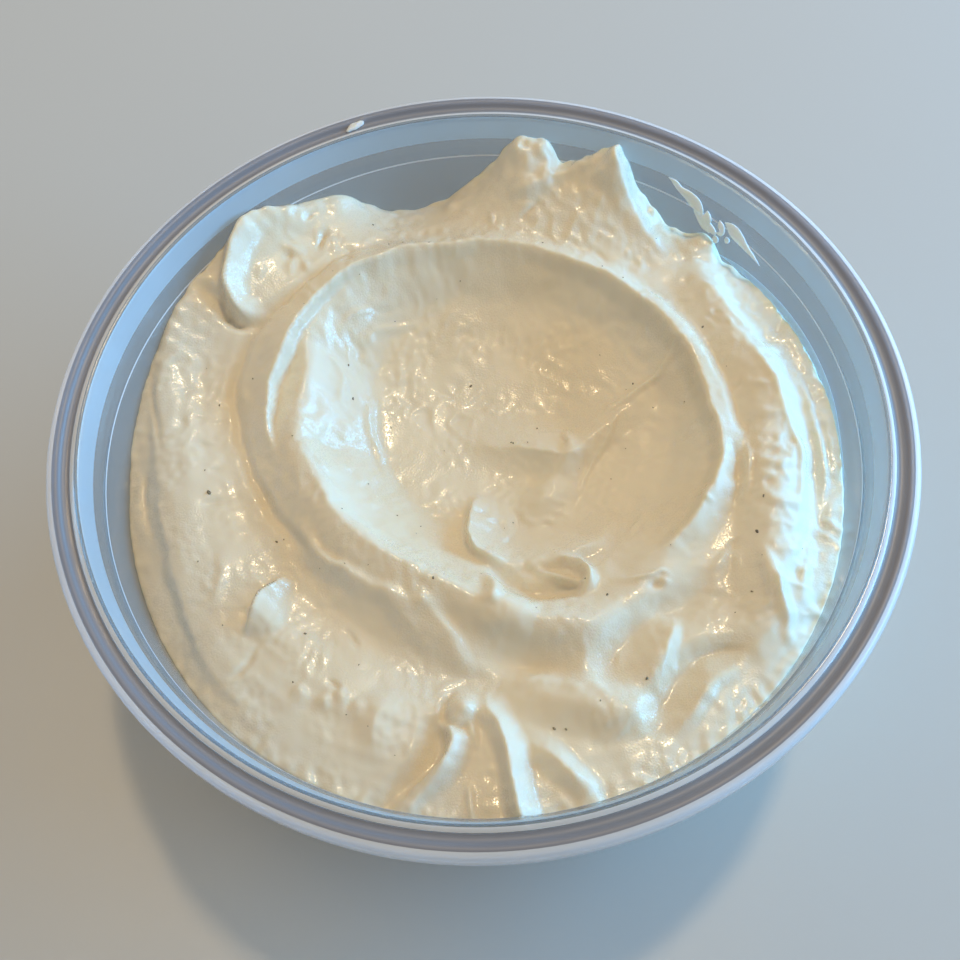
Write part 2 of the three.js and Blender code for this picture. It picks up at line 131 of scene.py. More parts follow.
# Soft swells and hollows: centre, half lengths along and across, turn in degrees, height.
SWELLS = [
    ((-27, 33), (15, 12), 25, 2.4),  # far left heap
    ((-27.5, 38), (8, 6), 25, -1.6),  # spoon hollow in that heap
    ((14, 41), (20, 9), 0, 1.8),  # heap against the far wall
    ((10, 46.8), (3.6, 3), 0, 2.4),  # flat top of the far peak
    ((-2.4, 46.8), (1.2, 1.6), 0, 2),  # nub beside the far peak
    ((34.4, 34.6), (2.4, 1.6), -45, 1.2),  # lump at the far right wall
    ((31.6, 36), (1.2, 1), 0, -0.5),  # nick beside that lump
    ((26, 38.6), (1.5, 1.2), 30, 0.6),  # lump below the far right peak
    ((28.6, 36.8), (1, 0.8), 0, 0.5),  # lump beside it
    ((-42, 3), (5, 22), 6, 0.3),  # long swell on the left
    ((5, 10), (4.5, 5), 0, 1.1),  # swell behind the wave
    ((8, -24.5), (9, 4.5), -12, 1.2),  # bank in front of the pocket
    ((14, -34.5), (7, 4), -15, 0.8),  # near right
    ((-4.3, -36), (2.2, 2), 0, 2.3),  # round blob
    ((3.6, -22.8), (6, 3.6), -20, 1),  # high end of that bank
    ((-17.5, 26.5), (4.6, 3.4), 35, 1),  # swell on the scoop's far left wall
    ((-9, 30.2), (4.6, 2.4), 10, 0.7),  # second swell, to its right
    ((9.8, -16.2), (1.4, 0.8), -30, -1.1),  # hole in the curl
    ((15.4, -19.2), (0.8, 0.7), 0, 0.9),  # drop beside the curl
    ((27.5, -36.5), (1.1, 0.8), 0, 0.5),  # lump near the right wall
    ((29, -38), (0.8, 0.8), 0, 0.5),  # lump beside it
    ((14.1, -19.6), (0.7, 0.5), 0, -0.6),  # pit beside that drop
    ((22.1, -20.5), (1, 0.7), 0, -0.8),  # dimple on the near right
    ((23.3, -20.2), (0.6, 0.6), 0, 0.6),  # drop beside the dimple
    ((-18.6, 12.2), (0.9, 0.6), 40, -0.3),  # pit in the scoop's left wall
    ((-13.6, 8.6), (1.4, 0.9), -30, -0.3),  # dip in the scoop's floor
    ((-12.2, 8.8), (1, 0.8), -30, 0.35),  # lump beside it
    ((-3.4, 3.6), (0.9, 0.8), 0, 0.5),  # lump in the middle of the scoop
]

# The scoop: the lowest point of its floor, and the rim around it, as (x, y, height).
SCOOP_FLOOR = (2.5, 7, 26.4)
SCOOP_RIM = [
    (-25.4, 4.6, 35), (-25.2, 10.6, 35.2), (-24.8, 17.1, 35.4), (-24.6, 21.6, 35.6),
    (-23, 26.4, 35.6), (-19.6, 30.4, 35.6), (-15, 33.6, 35.5), (-8, 35.4, 35.4), (2, 35.6, 35.2),
    (12, 33.4, 35.2),
    (20.5, 29, 35), (28, 21.6, 34.8), (32, 13, 34.6), (33, 3, 34.6), (30.5, -7, 34.4),
    (24, -14.5, 34.2), (15, -19, 34), (6, -21.6, 34.2), (-3, -19.4, 34.8), (-11.4, -14.8, 34.9),
    (-17.5, -9.6, 34.9), (-22.3, -2.6, 35),
]
FOOT_ROUNDING = 0.03  # over how much of the way out to the rim the wall's foot is rounded
RIM_ROUNDING = 0.07  # share of the scoop's depth over which its rim is rounded off
SCOOP_RELEASE = 1.25  # how far past the scoop's rim its height is felt, in rim radii

# How far out the scoop's wall begins, in rim radii, and what share of its depth the hollow floor
# takes up. Each changes with direction: (amount, direction, how narrow).
WALL_FOOT = 0.84
WALL_FOOT_CHANGES = [(-0.24, 195, 1), (-0.22, 285, 3)]
BOWL = 0.4
BOWL_CHANGES = [(-0.28, 195, 1), (0.2, 90, 1), (0.1, 0, 1)]

# ----- Strokes of the spoon, in millimetres -----
#
# Each is a path of (x, y, height), a ridge above 0 or a groove below, and (x, y) where it starts
# from nothing or ends. Left and right, as seen walking along the path, are the width of each side
# and how sharp the crest is there, from 0, round, to 1, a knife edge. The crest leans over its
# left side by the last number, if there is one, or over its right side where that is below 0.

# Large ridges and grooves, which the solid under this surface has too.
MAIN_STROKES = [
    # lip on the left of the scoop
    ([(-29.4, 3), (-30.2, 9, 1.3), (-29.9, 13.2, 2), (-28.9, 17, 2.3), (-27.3, 20.8, 2.5),
      (-24.9, 25.4, 2.5), (-21.8, 29.4, 2.4), (-17.6, 33.2, 1.4), (-11, 36.2)], (5.6, 0.4), (0.8, 0.5)),
    # lip on the far side of the scoop and down its right side
    ([(-21.8, 29.4), (-17.6, 33.2, 0.9), (-11, 36.2, 1.7), (-3, 37, 1.8), (5, 36.8, 1.7), (13, 34, 1.8),
      (20.2, 29.6, 2), (26, 24, 2.1), (30.6, 16.3, 2.2), (33, 6.3, 2.3), (33.6, 0, 2.4),
      (31.8, -6.5, 2.4), (26.3, -13.6, 1.5), (18, -18)], (3.6, 0.6), (2, 0.3), -0.2),
    # bank on the near left of the scoop
    ([(-25.4, 12), (-25.6, 6, 1.2), (-22.8, -3.7, 2), (-18, -10.7, 2.4), (-11.6, -15.8, 2.4),
      (-5, -20, 2.1), (1, -22.5, 1.6), (6, -24.5)], (4, 0), (11, 0.35)),
    # trough outside that bank
    ([(-36, 24), (-34.8, 14, -0.7), (-31, -3, -0.9), (-20.5, -21, -1.3), (-5, -31, -1.6), (5, -30, -1.3),
      (12, -29)], (6, 0), (9, 0.1)),
    # valley between that bank and the bank in front of the pocket
    ([(-8.6, -21), (-6, -23.6, -0.7), (-1.8, -26.9, -1.2), (3.3, -29.2, -1.3), (8, -30.4, -0.9),
      (12, -31)], (3.6, 0.1), (3.2, 0.1)),
    # step down to the band along the left wall
    ([(-38.3, 34.8), (-43, 28.8, 0.7), (-45.2, 23, 0.8), (-46.2, 15, 0.8), (-46.3, 8, 0.8),
      (-45.2, -5, 0.9), (-39.6, -24, 0.9), (-31, -37)], (8, 0.1), (1.6, 0.5)),
    # rolled lip of the far left heap
    ([(-23, 44), (-29.6, 42.6, 1.6), (-33.6, 39.7, 2.4), (-35.5, 34.8, 2.8), (-35.9, 31.5, 3),
      (-35.3, 28.7, 2.8), (-33.9, 26.8, 2), (-32, 25.2)], (3.4, 0.3), (1.6, 0.3), -0.6),
    # bank on the right, falling to the wall
    ([(34, 33), (35.8, 27, 2.2), (38.4, 20, 3), (40.5, 14.3, 3.4), (41.8, 8.8, 3.6), (42, 3.5, 3.7),
      (41.3, -2.2, 3.5), (40.6, -7.5, 3.3), (40, -12, 3.2), (39.2, -18, 2.8), (36.6, -26.5, 1.2),
      (33, -34)], (6.4, 0.15), (6.5, 0)),
    # ridge between the two far peaks
    ([(11, 46.6), (14.9, 46.8, 1.1), (17.6, 47.7, 1.3), (20.5, 48.2, 0.8), (23.4, 49.4)],
     (2.2, 0.4), (3, 0.3)),
    # crest from the far right peak down to the bank
    ([(22.8, 50.5, 0.4), (22.6, 46.5, 1.4), (23.6, 43, 1.4), (25.6, 39.8, 1.2), (27.8, 36, 0.8),
      (29.4, 33)], (2.8, 0.5), (3, 0.2)),
    # wave in the middle of the scoop, up to its tip
    ([(-6, 8.4), (-2, 7.6, 0.3), (2, 6.6, 1.3), (6, 5.6, 2.2), (10, 4.5, 2.7), (12.6, 3.5, 2.5),
      (15, 3.6)], (7, 0.3), (4.4, 0.75), -0.6),
    # the same wave beyond the tip
    ([(11.4, 3.8), (13.2, 3.7, 1.4), (15.4, 5.5, 2.2), (20, 9.3, 1.3), (24.7, 12.7, 0.8), (30.8, 19.8)],
     (5, 0.3), (3.6, 0.5)),
    # spur that runs down from the tip
    ([(12.9, 3), (11.6, 1.6, 1), (10.4, -0.3, 1.5), (8.8, -2.6, 1.5), (7.6, -4.6, 0.9), (7.4, -7)],
     (5.2, 0.2), (3.6, 0)),
    # left edge of the lower sheet
    ([(-0.6, -1.2), (-1.6, -4, 2.2), (-2.1, -7, 3.5), (-1.9, -9.6, 3.5), (-1.1, -11.6, 2.7),
      (0.5, -13.2, 2), (3, -13.8)], (7, 1), (1.6, 0.5), -0.5),
    # front edge of the lower sheet
    ([(-1, -13.8), (2.4, -14.2, 0.9), (5.6, -14, 1.4), (9.7, -13.2, 1.7), (13, -12.9, 1.7),
      (15.4, -11.6, 1.2), (16.8, -9.4, 0.8), (18.2, -7)], (5, 0.3), (2, 0.4)),
    # pocket in front of the lower sheet
    ([(-0.5, -14.8), (1.9, -17, -1.4), (4.8, -18.8, -1.8), (9.6, -19.6, -1.8), (13.8, -19.4)],
     (2.5, 0), (2.5, 0)),
    # bank in front of the pocket, running up to the right
    ([(-2, -21), (3, -23, 1.2), (9, -25, 1.4), (14, -24.6, 1.3), (18.6, -21.8, 1), (24, -18.6, 0.7),
      (30, -15.4)], (3.6, 0.1), (4.4, 0.1)),
    # trough on the near right
    ([(31, -20.6), (26.4, -22.6, -0.8), (21.9, -25, -1.2), (17.5, -27.8, -1.5), (14.6, -31.6, -1.4),
      (12.6, -34.4)], (4.8, 0.1), (3.6, 0.1)),
    # short crest beyond that trough
    ([(24.2, -24.4), (23.6, -26.8, 1.1), (23, -29, 1.3), (22, -32.4, 1.1), (20.4, -35.6)],
     (1.8, 0.4), (6, 0.1)),
    # trough on the other side of that crest
    ([(34.4, -30), (30.4, -30.4, -0.6), (26.2, -31.4, -1), (22.9, -34.5, -1.4), (20.4, -37.9, -1.2),
      (18.9, -41.2)], (4, 0.1), (2.8, 0.1)),
    # fin on the left
    ([(-27.4, -15.2), (-28.6, -16.6, 1.6), (-30.3, -18.6, 2.4), (-31.6, -20.9, 2.4), (-33, -24)],
     (2.4, 0.8), (1.1, 0.6), -0.5),
    # wave at the near wall
    ([(-1.3, -33.5), (-1.3, -36.6, 1.5), (-0.4, -38.6, 2.1), (0.5, -41, 2.5), (1, -44, 2.8),
      (1.4, -48, 2.8), (1.8, -51, 2.6)], (3.2, 0.35), (1.8, 0.5)),
    # second wave, to its right
    ([(2, -39.8), (5.2, -42.4, 1.1), (7.3, -44.2, 1.5), (9.3, -46.5, 1.5), (10.8, -48.8, 0.8)],
     (2.6, 0.2), (2.6, 0.3)),
    # curved wave, to its left
    ([(-6.6, -37), (-6, -38.9, 1.7), (-5.7, -40.6, 2.3), (-6.8, -43.1, 2.4), (-9, -45.1, 2.2),
      (-12, -47.5, 1.2), (-14, -49, 0.6)], (2.6, 0.4), (1.6, 0.4), -0.4),
    # groove behind the curved wave
    ([(-7.8, -36.4), (-7.6, -39.3, -1.6), (-7.9, -41.5, -1.8), (-9.2, -44, -1.8), (-11.4, -46.2, -1.6),
      (-14.8, -48.8, -0.8)], (1.8, 0.2), (3.8, 0.1)),
    # broad ridge between the waves and the near right
    ([(0.6, -32.4), (4.2, -34.2, 0.8), (8.5, -36, 1.3), (13.2, -37.4, 1.5), (17.2, -38.7, 1.3),
      (18.6, -41.1)], (4.6, 0.1), (4.4, 0)),
]

# Small ridges and creases that only this surface has.
FINE_STROKES = [
    # crease at the foot of the lip's outer slope
    ([(-10.4, 38.8), (-17.3, 37.6, -0.5), (-22.6, 33.6, -0.8), (-27.1, 29, -0.9), (-31.6, 24.6, -0.7),
      (-34.9, 17, -0.7), (-34.4, 9, -0.7), (-32.6, 1.5, -0.9), (-29.6, -4.6, -1.1), (-25, -11.5, -0.7),
      (-22, -15)], (1.1, 0.8), (1.8, 0.3)),
    # groove inside the scoop's left lip
    ([(-28.6, 4), (-29.2, 9, -0.9), (-28.8, 13.5, -1.2), (-27.7, 17.6, -1.2), (-26.2, 21, -0.7),
      (-24.6, 23.6)], (0.8, 0.4), (3.4, 0.2)),
    # wrinkle down the scoop's left wall
    ([(-22.6, 21.4), (-20.4, 19.6, 0.3), (-19.6, 17.2, 0.4), (-19.8, 14, 0.3), (-19, 11)],
     (0.7, 0.3), (0.9, 0.3)),
    # second wrinkle, at that wall's foot
    ([(-15.8, 16), (-16.4, 12, 0.3), (-15.6, 8, 0.4), (-14.6, 4.6, 0.3), (-13.8, 1)],
     (0.9, 0.3), (0.8, 0.3)),
    # thin fold along the wave, up the scoop's right wall
    ([(17.4, 9.4), (19.8, 11.1, 0.5), (22.1, 12.2, 0.7), (24.5, 13.8, 0.9), (26.8, 14.8, 0.8),
      (28.5, 17, 0.6), (30.2, 19.5)], (1.2, 0.5), (0.9, 0.5)),
    # streak high on the scoop's far left wall
    ([(-19.4, 26.6), (-16.4, 28.4, 0.4), (-13.6, 29, -0.4), (-10.4, 29.8)], (0.8, 0.3), (0.8, 0.3)),
    # streak below that
    ([(-17, 23.6), (-14.6, 26, 0.3), (-11.6, 27, 0.4), (-8, 27.6)], (0.9, 0.3), (0.8, 0.3)),
    # groove under the rolled lip
    ([(-41, 31.5), (-38.2, 29.8, -1.2), (-36.4, 27, -1.6), (-33.8, 25.4, -1.4), (-31, 26)],
     (1.4, 0.3), (2, 0.3)),
    # crease in the far left heap
    ([(-21, 41.4), (-22.1, 39.4, -0.7), (-23, 37)], (0.8, 0.3), (0.8, 0.3)),
    # fold in that heap's far edge
    ([(-22.8, 44.4), (-24, 43, -0.6), (-25, 42)], (0.7, 0.3), (0.7, 0.3)),
    # streak of lumps in that heap
    ([(-28.6, 38.4), (-26.5, 37.2, 0.5), (-24.4, 36.8)], (1.2, 0.3), (1.2, 0.3)),
    # front edge of the far peak's flat top
    ([(6.5, 45.6), (8, 44.7, 0.7), (10, 44.7, 0.9), (12.6, 45.6, 0.8), (14, 47.2)], (2, 0.2), (1.3, 0.5)),
    # scrape on that peak's face
    ([(3.2, 43.4), (3.6, 42, 0.4), (3.9, 40.6)], (0.7, 0.4), (0.7, 0.3)),
    # thin fold inside the right bank
    ([(36.8, 3), (37, -1, 0.6), (36.6, -4.6, 0.8), (35.4, -9)], (1, 0.4), (1.2, 0.3)),
    # curl in the pocket
    ([(5, -14.2), (7.8, -14.8, 0.9), (10.2, -14.6, 1.6), (12.3, -15.5, 2.2), (13.5, -17.4, 2.2),
      (12.8, -19.4, 1.2), (11.8, -20.8)], (1.6, 0.2), (1.3, 0.3)),
    # lower lip of that curl
    ([(5, -14.4), (7.4, -16.2, 0.9), (9.5, -17.5, 1.3), (11.4, -18.3, 1.3), (13, -18.8)],
     (1, 0.3), (1, 0.5), -0.3),
    # small peak left of the pocket
    ([(-0.8, -15.2), (0.3, -17.4, 1.4), (0.7, -19.8, 1.9), (0.3, -22.6)], (1.6, 0.3), (2, 0.1)),
    # ridge along the near left bank
    ([(-26, -7), (-24.4, -11.4, 1), (-22.6, -13.8, 1.3), (-19.4, -15.9, 1.1), (-16.3, -18.2, 0.8),
      (-11.6, -20.6, 0.5), (-7, -22)], (1.7, 0.3), (2.2, 0.3)),
    # nick in that bank's crest
    ([(-25.2, 3.8), (-23.8, 1.8, -0.6), (-21.8, -1, -0.6), (-20, -3.2)], (0.8, 0.3), (0.8, 0.3)),
    # round end of that bank
    ([(-10.5, -20), (-8.7, -21.4, 0.5), (-6.3, -24.7, 0.8), (-4.8, -27.6, 0.7), (-3.8, -29.4, 0.4),
      (-3.4, -31)], (1.6, 0.4), (3, 0.1)),
    # wet streak on that bank
    ([(-15.6, -18.4), (-13.6, -20.8, 0.6), (-11.3, -23.7, 0.7), (-8.8, -26.8, 0.5), (-7.8, -29)],
     (2.6, 0.2), (1.8, 0.3)),
    # edge of the patch left of the curved wave
    ([(-15, -32.8), (-15.2, -35, 0.6), (-16, -38, 0.7), (-16.2, -42.6)], (4, 0.3), (3, 0.1)),
    # crease round the blob
    ([(-3.2, -38.8), (-5.2, -38.6, -0.9), (-6.8, -37, -1), (-6.9, -35, -0.8), (-5.4, -33.4)],
     (0.9, 0.3), (0.9, 0.4)),
    # pleat under the blob
    ([(-3.6, -37.8), (-3.3, -39.4, 0.7), (-3, -41.4)], (0.8, 0.3), (0.8, 0.3)),
    # pleat at the near wall
    ([(-4.4, -45.8), (-4.2, -48, 0.6), (-4, -50.4, 0.4)], (0.9, 0.3), (0.9, 0.3)),
    # groove at the far end of the near right trough
    ([(25.4, -31.4), (27.3, -30.4, -0.4), (30.1, -29.8, -0.5), (33, -30.6)], (0.8, 0.4), (1.2, 0.2)),
    # outer edge of the lip on the right
    ([(24.2, 28.9), (29.8, 21.9, 0.5), (33.3, 15.2, 0.7), (35.2, 7.7, 0.8), (35.8, 1.1, 0.7),
      (35.9, -4.2)], (1.2, 0.3), (2.4, 0)),
    # second crest of the right bank
    ([(36.4, -15), (37.4, -19.5, 1), (38.6, -23.4, 1.1), (39, -27, 0.8), (38.5, -30.5)],
     (1.4, 0.4), (1.4, 0.4)),
    # crest between that and the valley
    ([(36.2, -17), (36.8, -21, 0.7), (37, -25.5)], (0.9, 0.4), (0.9, 0.4)),
    # line along the right bank's outer slope
    ([(38.6, 19), (40.7, 14, 0.4), (42.6, 8.8, 0.6), (43.2, 3.2, 0.6), (44.6, -2.3, 0.8), (44.2, -7, 0.6),
      (42.2, -11.4)], (0.9, 0.4), (1.4, 0.1)),
    # flattened top of the right bank
    ([(36, 26), (38.6, 20, -0.7), (40.7, 14, -0.9), (42, 6, -1), (41.6, -2.2, -1), (40.4, -12, -0.8),
      (38, -22)], (4.6, 0), (4.6, 0)),
    # terrace below that line
    ([(37.6, 28), (41.8, 20.4, -0.8), (44.4, 12.6, -1.2), (45.6, 6, -1.3), (46.2, -1, -1.3),
      (45.4, -8.6, -1.2), (43.2, -16, -0.8), (40.4, -22)], (3.4, 0), (2.2, 0)),
    # hollow where the right bank begins
    ([(35.4, 33), (37.4, 27.4, -0.9), (39.4, 22, -1), (41, 17, -0.6), (42, 13)], (3.2, 0), (2.8, 0)),
    # line further down that slope
    ([(45.4, 13.4), (46.9, 8.6, 0.5), (47.6, 3, 0.7), (47.9, -1, 0.7), (47.5, -6, 0.5), (45.9, -10.7)],
     (0.8, 0.4), (1.8, 0.1)),
    # line on its near end
    ([(44.6, -13.4), (43.3, -17, 0.6), (41.9, -21.6, 0.5), (40.4, -25)], (1.2, 0.4), (1.2, 0.3)),
    # line on its far end
    ([(34.4, 27.4), (37.6, 23, 0.5), (40.3, 17.8, 0.5), (41.6, 14)], (1.3, 0.4), (1.2, 0.3)),
    # crease by the near right wall
    ([(22, -41.6), (25, -38.4, 0.6), (28, -34.6, 0.7), (31.6, -32.4)], (2.4, 0.1), (1.6, 0.3)),
    # crack across the scoop's floor, beside the spur
    ([(21.6, 11.2), (19.6, 8.4, 0.35), (18.3, 6, 0.4), (16, 2.2, 0.4), (14.4, -0.5, 0.3), (13.6, -3)],
     (0.5, 0.5), (0.6, 0.3)),
    # thin fold at the scoop's near right
    ([(19, -11.4), (20.2, -10.1, 0.5), (21.4, -8.9, 0.5), (22.6, -7.4)], (0.7, 0.4), (0.9, 0.3)),
    # thin line right of the curl
    ([(15.6, -18.8), (19.3, -19.3, 0.4), (21.5, -19.3, 0.5), (23.2, -18.9, 0.4), (24.3, -19.8)],
     (0.6, 0.4), (0.6, 0.4)),
    # fold in the band along the left wall
    ([(-47.6, 4), (-48, 0, -0.5), (-47.6, -3.3, -0.5), (-46.2, -9)], (0.7, 0.4), (0.9, 0.3)),
    # crease at the top of that band
    ([(-47.1, 18), (-46.9, 14, -0.5), (-46.2, 10, -0.6), (-45.6, 5.5)], (0.8, 0.5), (0.8, 0.3)),
    # streak left of the fin
    ([(-36.8, -11), (-36.5, -14, 0.3), (-36.7, -17, 0.4), (-37.8, -20)], (1.6, 0.3), (1.2, 0.2)),
    # foot of the fin, widening downwards
    ([(-28.2, -17.2), (-28.9, -19.6, 0.7), (-29.9, -22, 0.9), (-31.4, -24.6)], (2.4, 0.4), (2, 0)),
    # crease below the fin
    ([(-31.6, -25.4), (-32.2, -27, -0.3), (-33.4, -28.8, -0.3), (-35, -29.6)], (0.8, 0.3), (1, 0.2)),
]

# Clusters of short scrapes and nicks: direction, distance from the middle, how many.
SCRAPES = [(20, 41, 14), (200, 36, 10), (75, 42, 16), (300, 35, 9), (58, 45, 12), (126, 43, 12)]

# Pleats on the near left: x, y, height, length. Pleats on the right bank: y, height.
NEAR_PLEATS = [(-26, -31.2, 0.4, 3.4), (-23, -32.8, 0.5, 2.6), (-20.8, -32.2, 0.3, 4.4),
               (-18.4, -33.8, 0.4, 3)]
BANK_PLEATS = [(9, 0.4), (4.4, 0.3), (-3.6, 0.5), (-5.6, 0.4), (-9.8, 0.4)]


def through_points(points, steps, closed=False):
    """Smooth curve through control points of any dimension, as an array of sampled points."""
    points = np.array(points, float)
    count = len(points)
    spans = count if closed else count - 1
    samples = []
    for span in range(spans):
        ends = [span - 1, span, span + 1, span + 2]
        if closed:
            ends = [i % count for i in ends]
        else:
            ends = [min(max(i, 0), count - 1) for i in ends]
        before, value, following, after = points[ends]
        for t in np.arange(steps) / steps:
            slope = (following - before) * t
            bend = (2 * before - 5 * value + 4 * following - after) * t**2
            twist = (3 * value - before - 3 * following + after) * t**3
            samples.append(value + 0.5 * (slope + bend + twist))
    if not closed:
        samples.append(points[-1])
    return np.array(samples)


class Stroke:
    """One line of the spoon, with its path as a smooth curve."""

    def __init__(self, path, left, right, lean=0.0):
        self.line = through_points([(*point, 0)[:3] for point in path], 8)
        self.left = left
        self.right = right
        self.lean = lean


def scrapes():
    """Short scrapes and nicks that run round the dip, thicker in some places."""
    random = np.random.default_rng(3)
    strokes = []
    for direction, reach, count in SCRAPES:
        for _ in range(count):
            turn = math.radians(direction + random.normal(0, 24))
            away = reach + random.normal(0, 3.2)
            heading = turn + math.pi / 2 + random.normal(0, 0.6)
            half = random.uniform(0.8, 2.4)
            x, y = away * math.cos(turn), away * math.sin(turn)
            dx, dy = half * math.cos(heading), half * math.sin(heading)
            rise = random.choice((-1, 1)) * random.uniform(0.15, 0.4)
            path = [(x - dx, y - dy), (x, y, rise), (x + dx, y + dy)]
            width = random.uniform(0.6, 1.1)
            strokes.append(Stroke(path, (width, 0.3), (1.3 * width, 0.3)))
    return strokes


def pleats():
    """Small folds across the dip's slope to the wall."""
    strokes = []
    for x, y, height, length in NEAR_PLEATS:
        path = [(x, y), (x + 0.5, y - 0.9, height), (x + 0.4 * length / 2, y - length)]
        strokes.append(Stroke(path, (1.3, 0.3), (2, 0)))
    for y, height in BANK_PLEATS:
        path = [(37.6, y + 1.6), (39.4, y, height), (41.4, y - 0.3, height), (43.6, y + 0.6)]
        strokes.append(Stroke(path, (1.3, 0.2), (1.4, 0.2)))
    return strokes


STROKES = [Stroke(*row) for row in MAIN_STROKES + FINE_STROKES] + scrapes() + pleats()

# ----- The surface that the spoon left -----


def smoothstep(value, low, high):
    t = np.clip((value - low) / (high - low), 0, 1)
    return t * t * (3 - 2 * t)


def towards(angle, direction):
    """1 where angles point in a direction, falling to 0 at right angles to it."""
    return np.clip(np.cos(angle - math.radians(direction)), 0, 1)


def by_direction(usual, changes, angle):
    """A number that is usual but for its changes towards some directions."""
    for amount, direction, power in changes:
        usual = usual + amount * towards(angle, direction) ** power
    return usual


def noise(x, y, size, seed):
    """Smooth random height between about -1 and 1, with one bump to each size of length."""
    table = np.random.default_rng(seed).uniform(0, 2 * math.pi, (256, 256))
    x, y = x / size, y / size
    cell_x, cell_y = np.floor(x).astype(int), np.floor(y).astype(int)
    dx, dy = x - cell_x, y - cell_y
    total = 0
    for i in (0, 1):
        for j in (0, 1):
            turn = table[(cell_x + i) % 256, (cell_y + j) % 256]
            slope = np.cos(turn) * (dx - i) + np.sin(turn) * (dy - j)
            weight_x = smoothstep(1 - abs(dx - i), 0, 1)
            weight_y = smoothstep(1 - abs(dy - j), 0, 1)
            total = total + slope * weight_x * weight_y
    return 1.6 * total


def falloff(fraction, sharpness):
    """Height of a stroke's side at a fraction of its width away from the crest."""
    t = np.clip(fraction, 0, 1)
    return (1 - t) ** 2 * (1 + 2 * t * (1 - sharpness))


def add_stroke(stroke, x, y, height, shift):
    """Adds a stroke to the heights and its lean to the sideways shifts of the points near it."""
    reach = max(stroke.left[0], stroke.right[0])
    low = stroke.line[:, :2].min(0) - reach
    high = stroke.line[:, :2].max(0) + reach
    near = (x > low[0]) & (x < high[0]) & (y > low[1]) & (y < high[1])
    px, py = x[near], y[near]
    nearest = np.full(px.shape, np.inf)
    crest = np.zeros_like(px)
    side = np.zeros_like(px)
    normal = np.zeros(px.shape + (2,))
    for (ax, ay, a_height), (bx, by, b_height) in zip(stroke.line[:-1], stroke.line[1:]):
        dx, dy = bx - ax, by - ay
        length = math.hypot(dx, dy)
        t = np.clip(((px - ax) * dx + (py - ay) * dy) / length**2, 0, 1)
        off_x, off_y = px - ax - t * dx, py - ay - t * dy
        distance = np.hypot(off_x, off_y)
        closer = distance < nearest
        nearest = np.where(closer, distance, nearest)
        crest = np.where(closer, a_height + t * (b_height - a_height), crest)
        side = np.where(closer, dx * off_y - dy * off_x, side)
        normal[closer] = (-dy / length, dx / length)
    on_left = side >= 0
    width = np.where(on_left, stroke.left[0], stroke.right[0])
    sharpness = np.where(on_left, stroke.left[1], stroke.right[1])
    share = falloff(nearest / width, sharpness)
    height[near] += crest * share
    highest = abs(stroke.line[:, 2]).max()
    shift[near] += stroke.lean * (abs(crest) / highest * share**1.5)[:, None] * normal


def edge_height(angle, radius):
    """Edge height, averaged over a fan of directions that widens towards the middle."""
    spread = np.radians(0.8 + 1.3 * np.clip(EDGE_RADIUS - radius, 0, 14))
    directions = np.radians([a for a, _ in EDGE])
    heights = [h for _, h in EDGE]
    total, weights = 0, 0
    for k in range(-4, 5):
        weight = 5 - abs(k)
        turned = angle + 0.3 * k * spread
        total = total + weight * np.interp(turned, directions, heights, period=2 * math.pi)
        weights += weight
    return total / weights


def with_scoop(ground, x, y):
    """The ground with the scoop in it: a broad slope on the left, a short steep one on the right."""
    floor_x, floor_y, floor_z = SCOOP_FLOOR
    rim = through_points(SCOOP_RIM, 6, closed=True)
    rim_angle = np.arctan2(rim[:, 1] - floor_y, rim[:, 0] - floor_x)
    rim_reach = np.hypot(rim[:, 1] - floor_y, rim[:, 0] - floor_x)
    dx, dy = x - floor_x, y - floor_y
    angle = np.arctan2(dy, dx)
    reach = np.hypot(dx, dy) / np.interp(angle, rim_angle, rim_reach, period=2 * math.pi)
    rim_height = np.interp(angle, rim_angle, rim[:, 2], period=2 * math.pi)
    foot = by_direction(WALL_FOOT, WALL_FOOT_CHANGES, angle)
    wall = (np.hypot(reach - foot, FOOT_ROUNDING) + (reach - foot)) / 2 / (1 - foot)
    bowl = by_direction(BOWL, BOWL_CHANGES, angle)
    rise = bowl * reach**2 + (1 - bowl) * wall
    capped = (1 + rise - np.hypot(1 - rise, RIM_ROUNDING)) / 2
    scoop = floor_z + (rim_height - floor_z) * capped
    away = smoothstep(reach, 1, SCOOP_RELEASE)
    return ground * away + scoop * (1 - away)


def grain(x, y, settings):
    """Lumps and drag lines of the thick dip, in millimetres of height."""
    floor_x, floor_y, _ = SCOOP_FLOOR
    turn = np.arctan2(y - floor_y, x - floor_x)
    away = np.hypot(x - floor_x, y - floor_y)
    swirl = noise(away / 1.6 + 40, turn * 4 + 40, 1, 5) * smoothstep(away, 6, 26)
    lumps = noise(x, y, 5, 1) + 0.5 * noise(x, y, 2.4, 2)
    curd = noise(x, y, 1.1, 3) * smoothstep(noise(x, y, 7, 4), -0.3, 0.5)
    bend_x, bend_y = x + 0.8 * noise(x, y, 2, 6), y + 0.8 * noise(x, y, 2, 7)
    folds = abs(noise(bend_x, bend_y, 3.2, 8)) * smoothstep(noise(x, y, 9, 9), -0.2, 0.4)
    folds = folds * np.maximum(smoothstep(y, -32, -4), 1.5 * smoothstep(x, 36, 42))
    return (
        settings.lump_height / MM * lumps
        + settings.drag_height / MM * swirl
        + settings.curd_height / MM * curd
        - settings.fold_height / MM * folds
    )


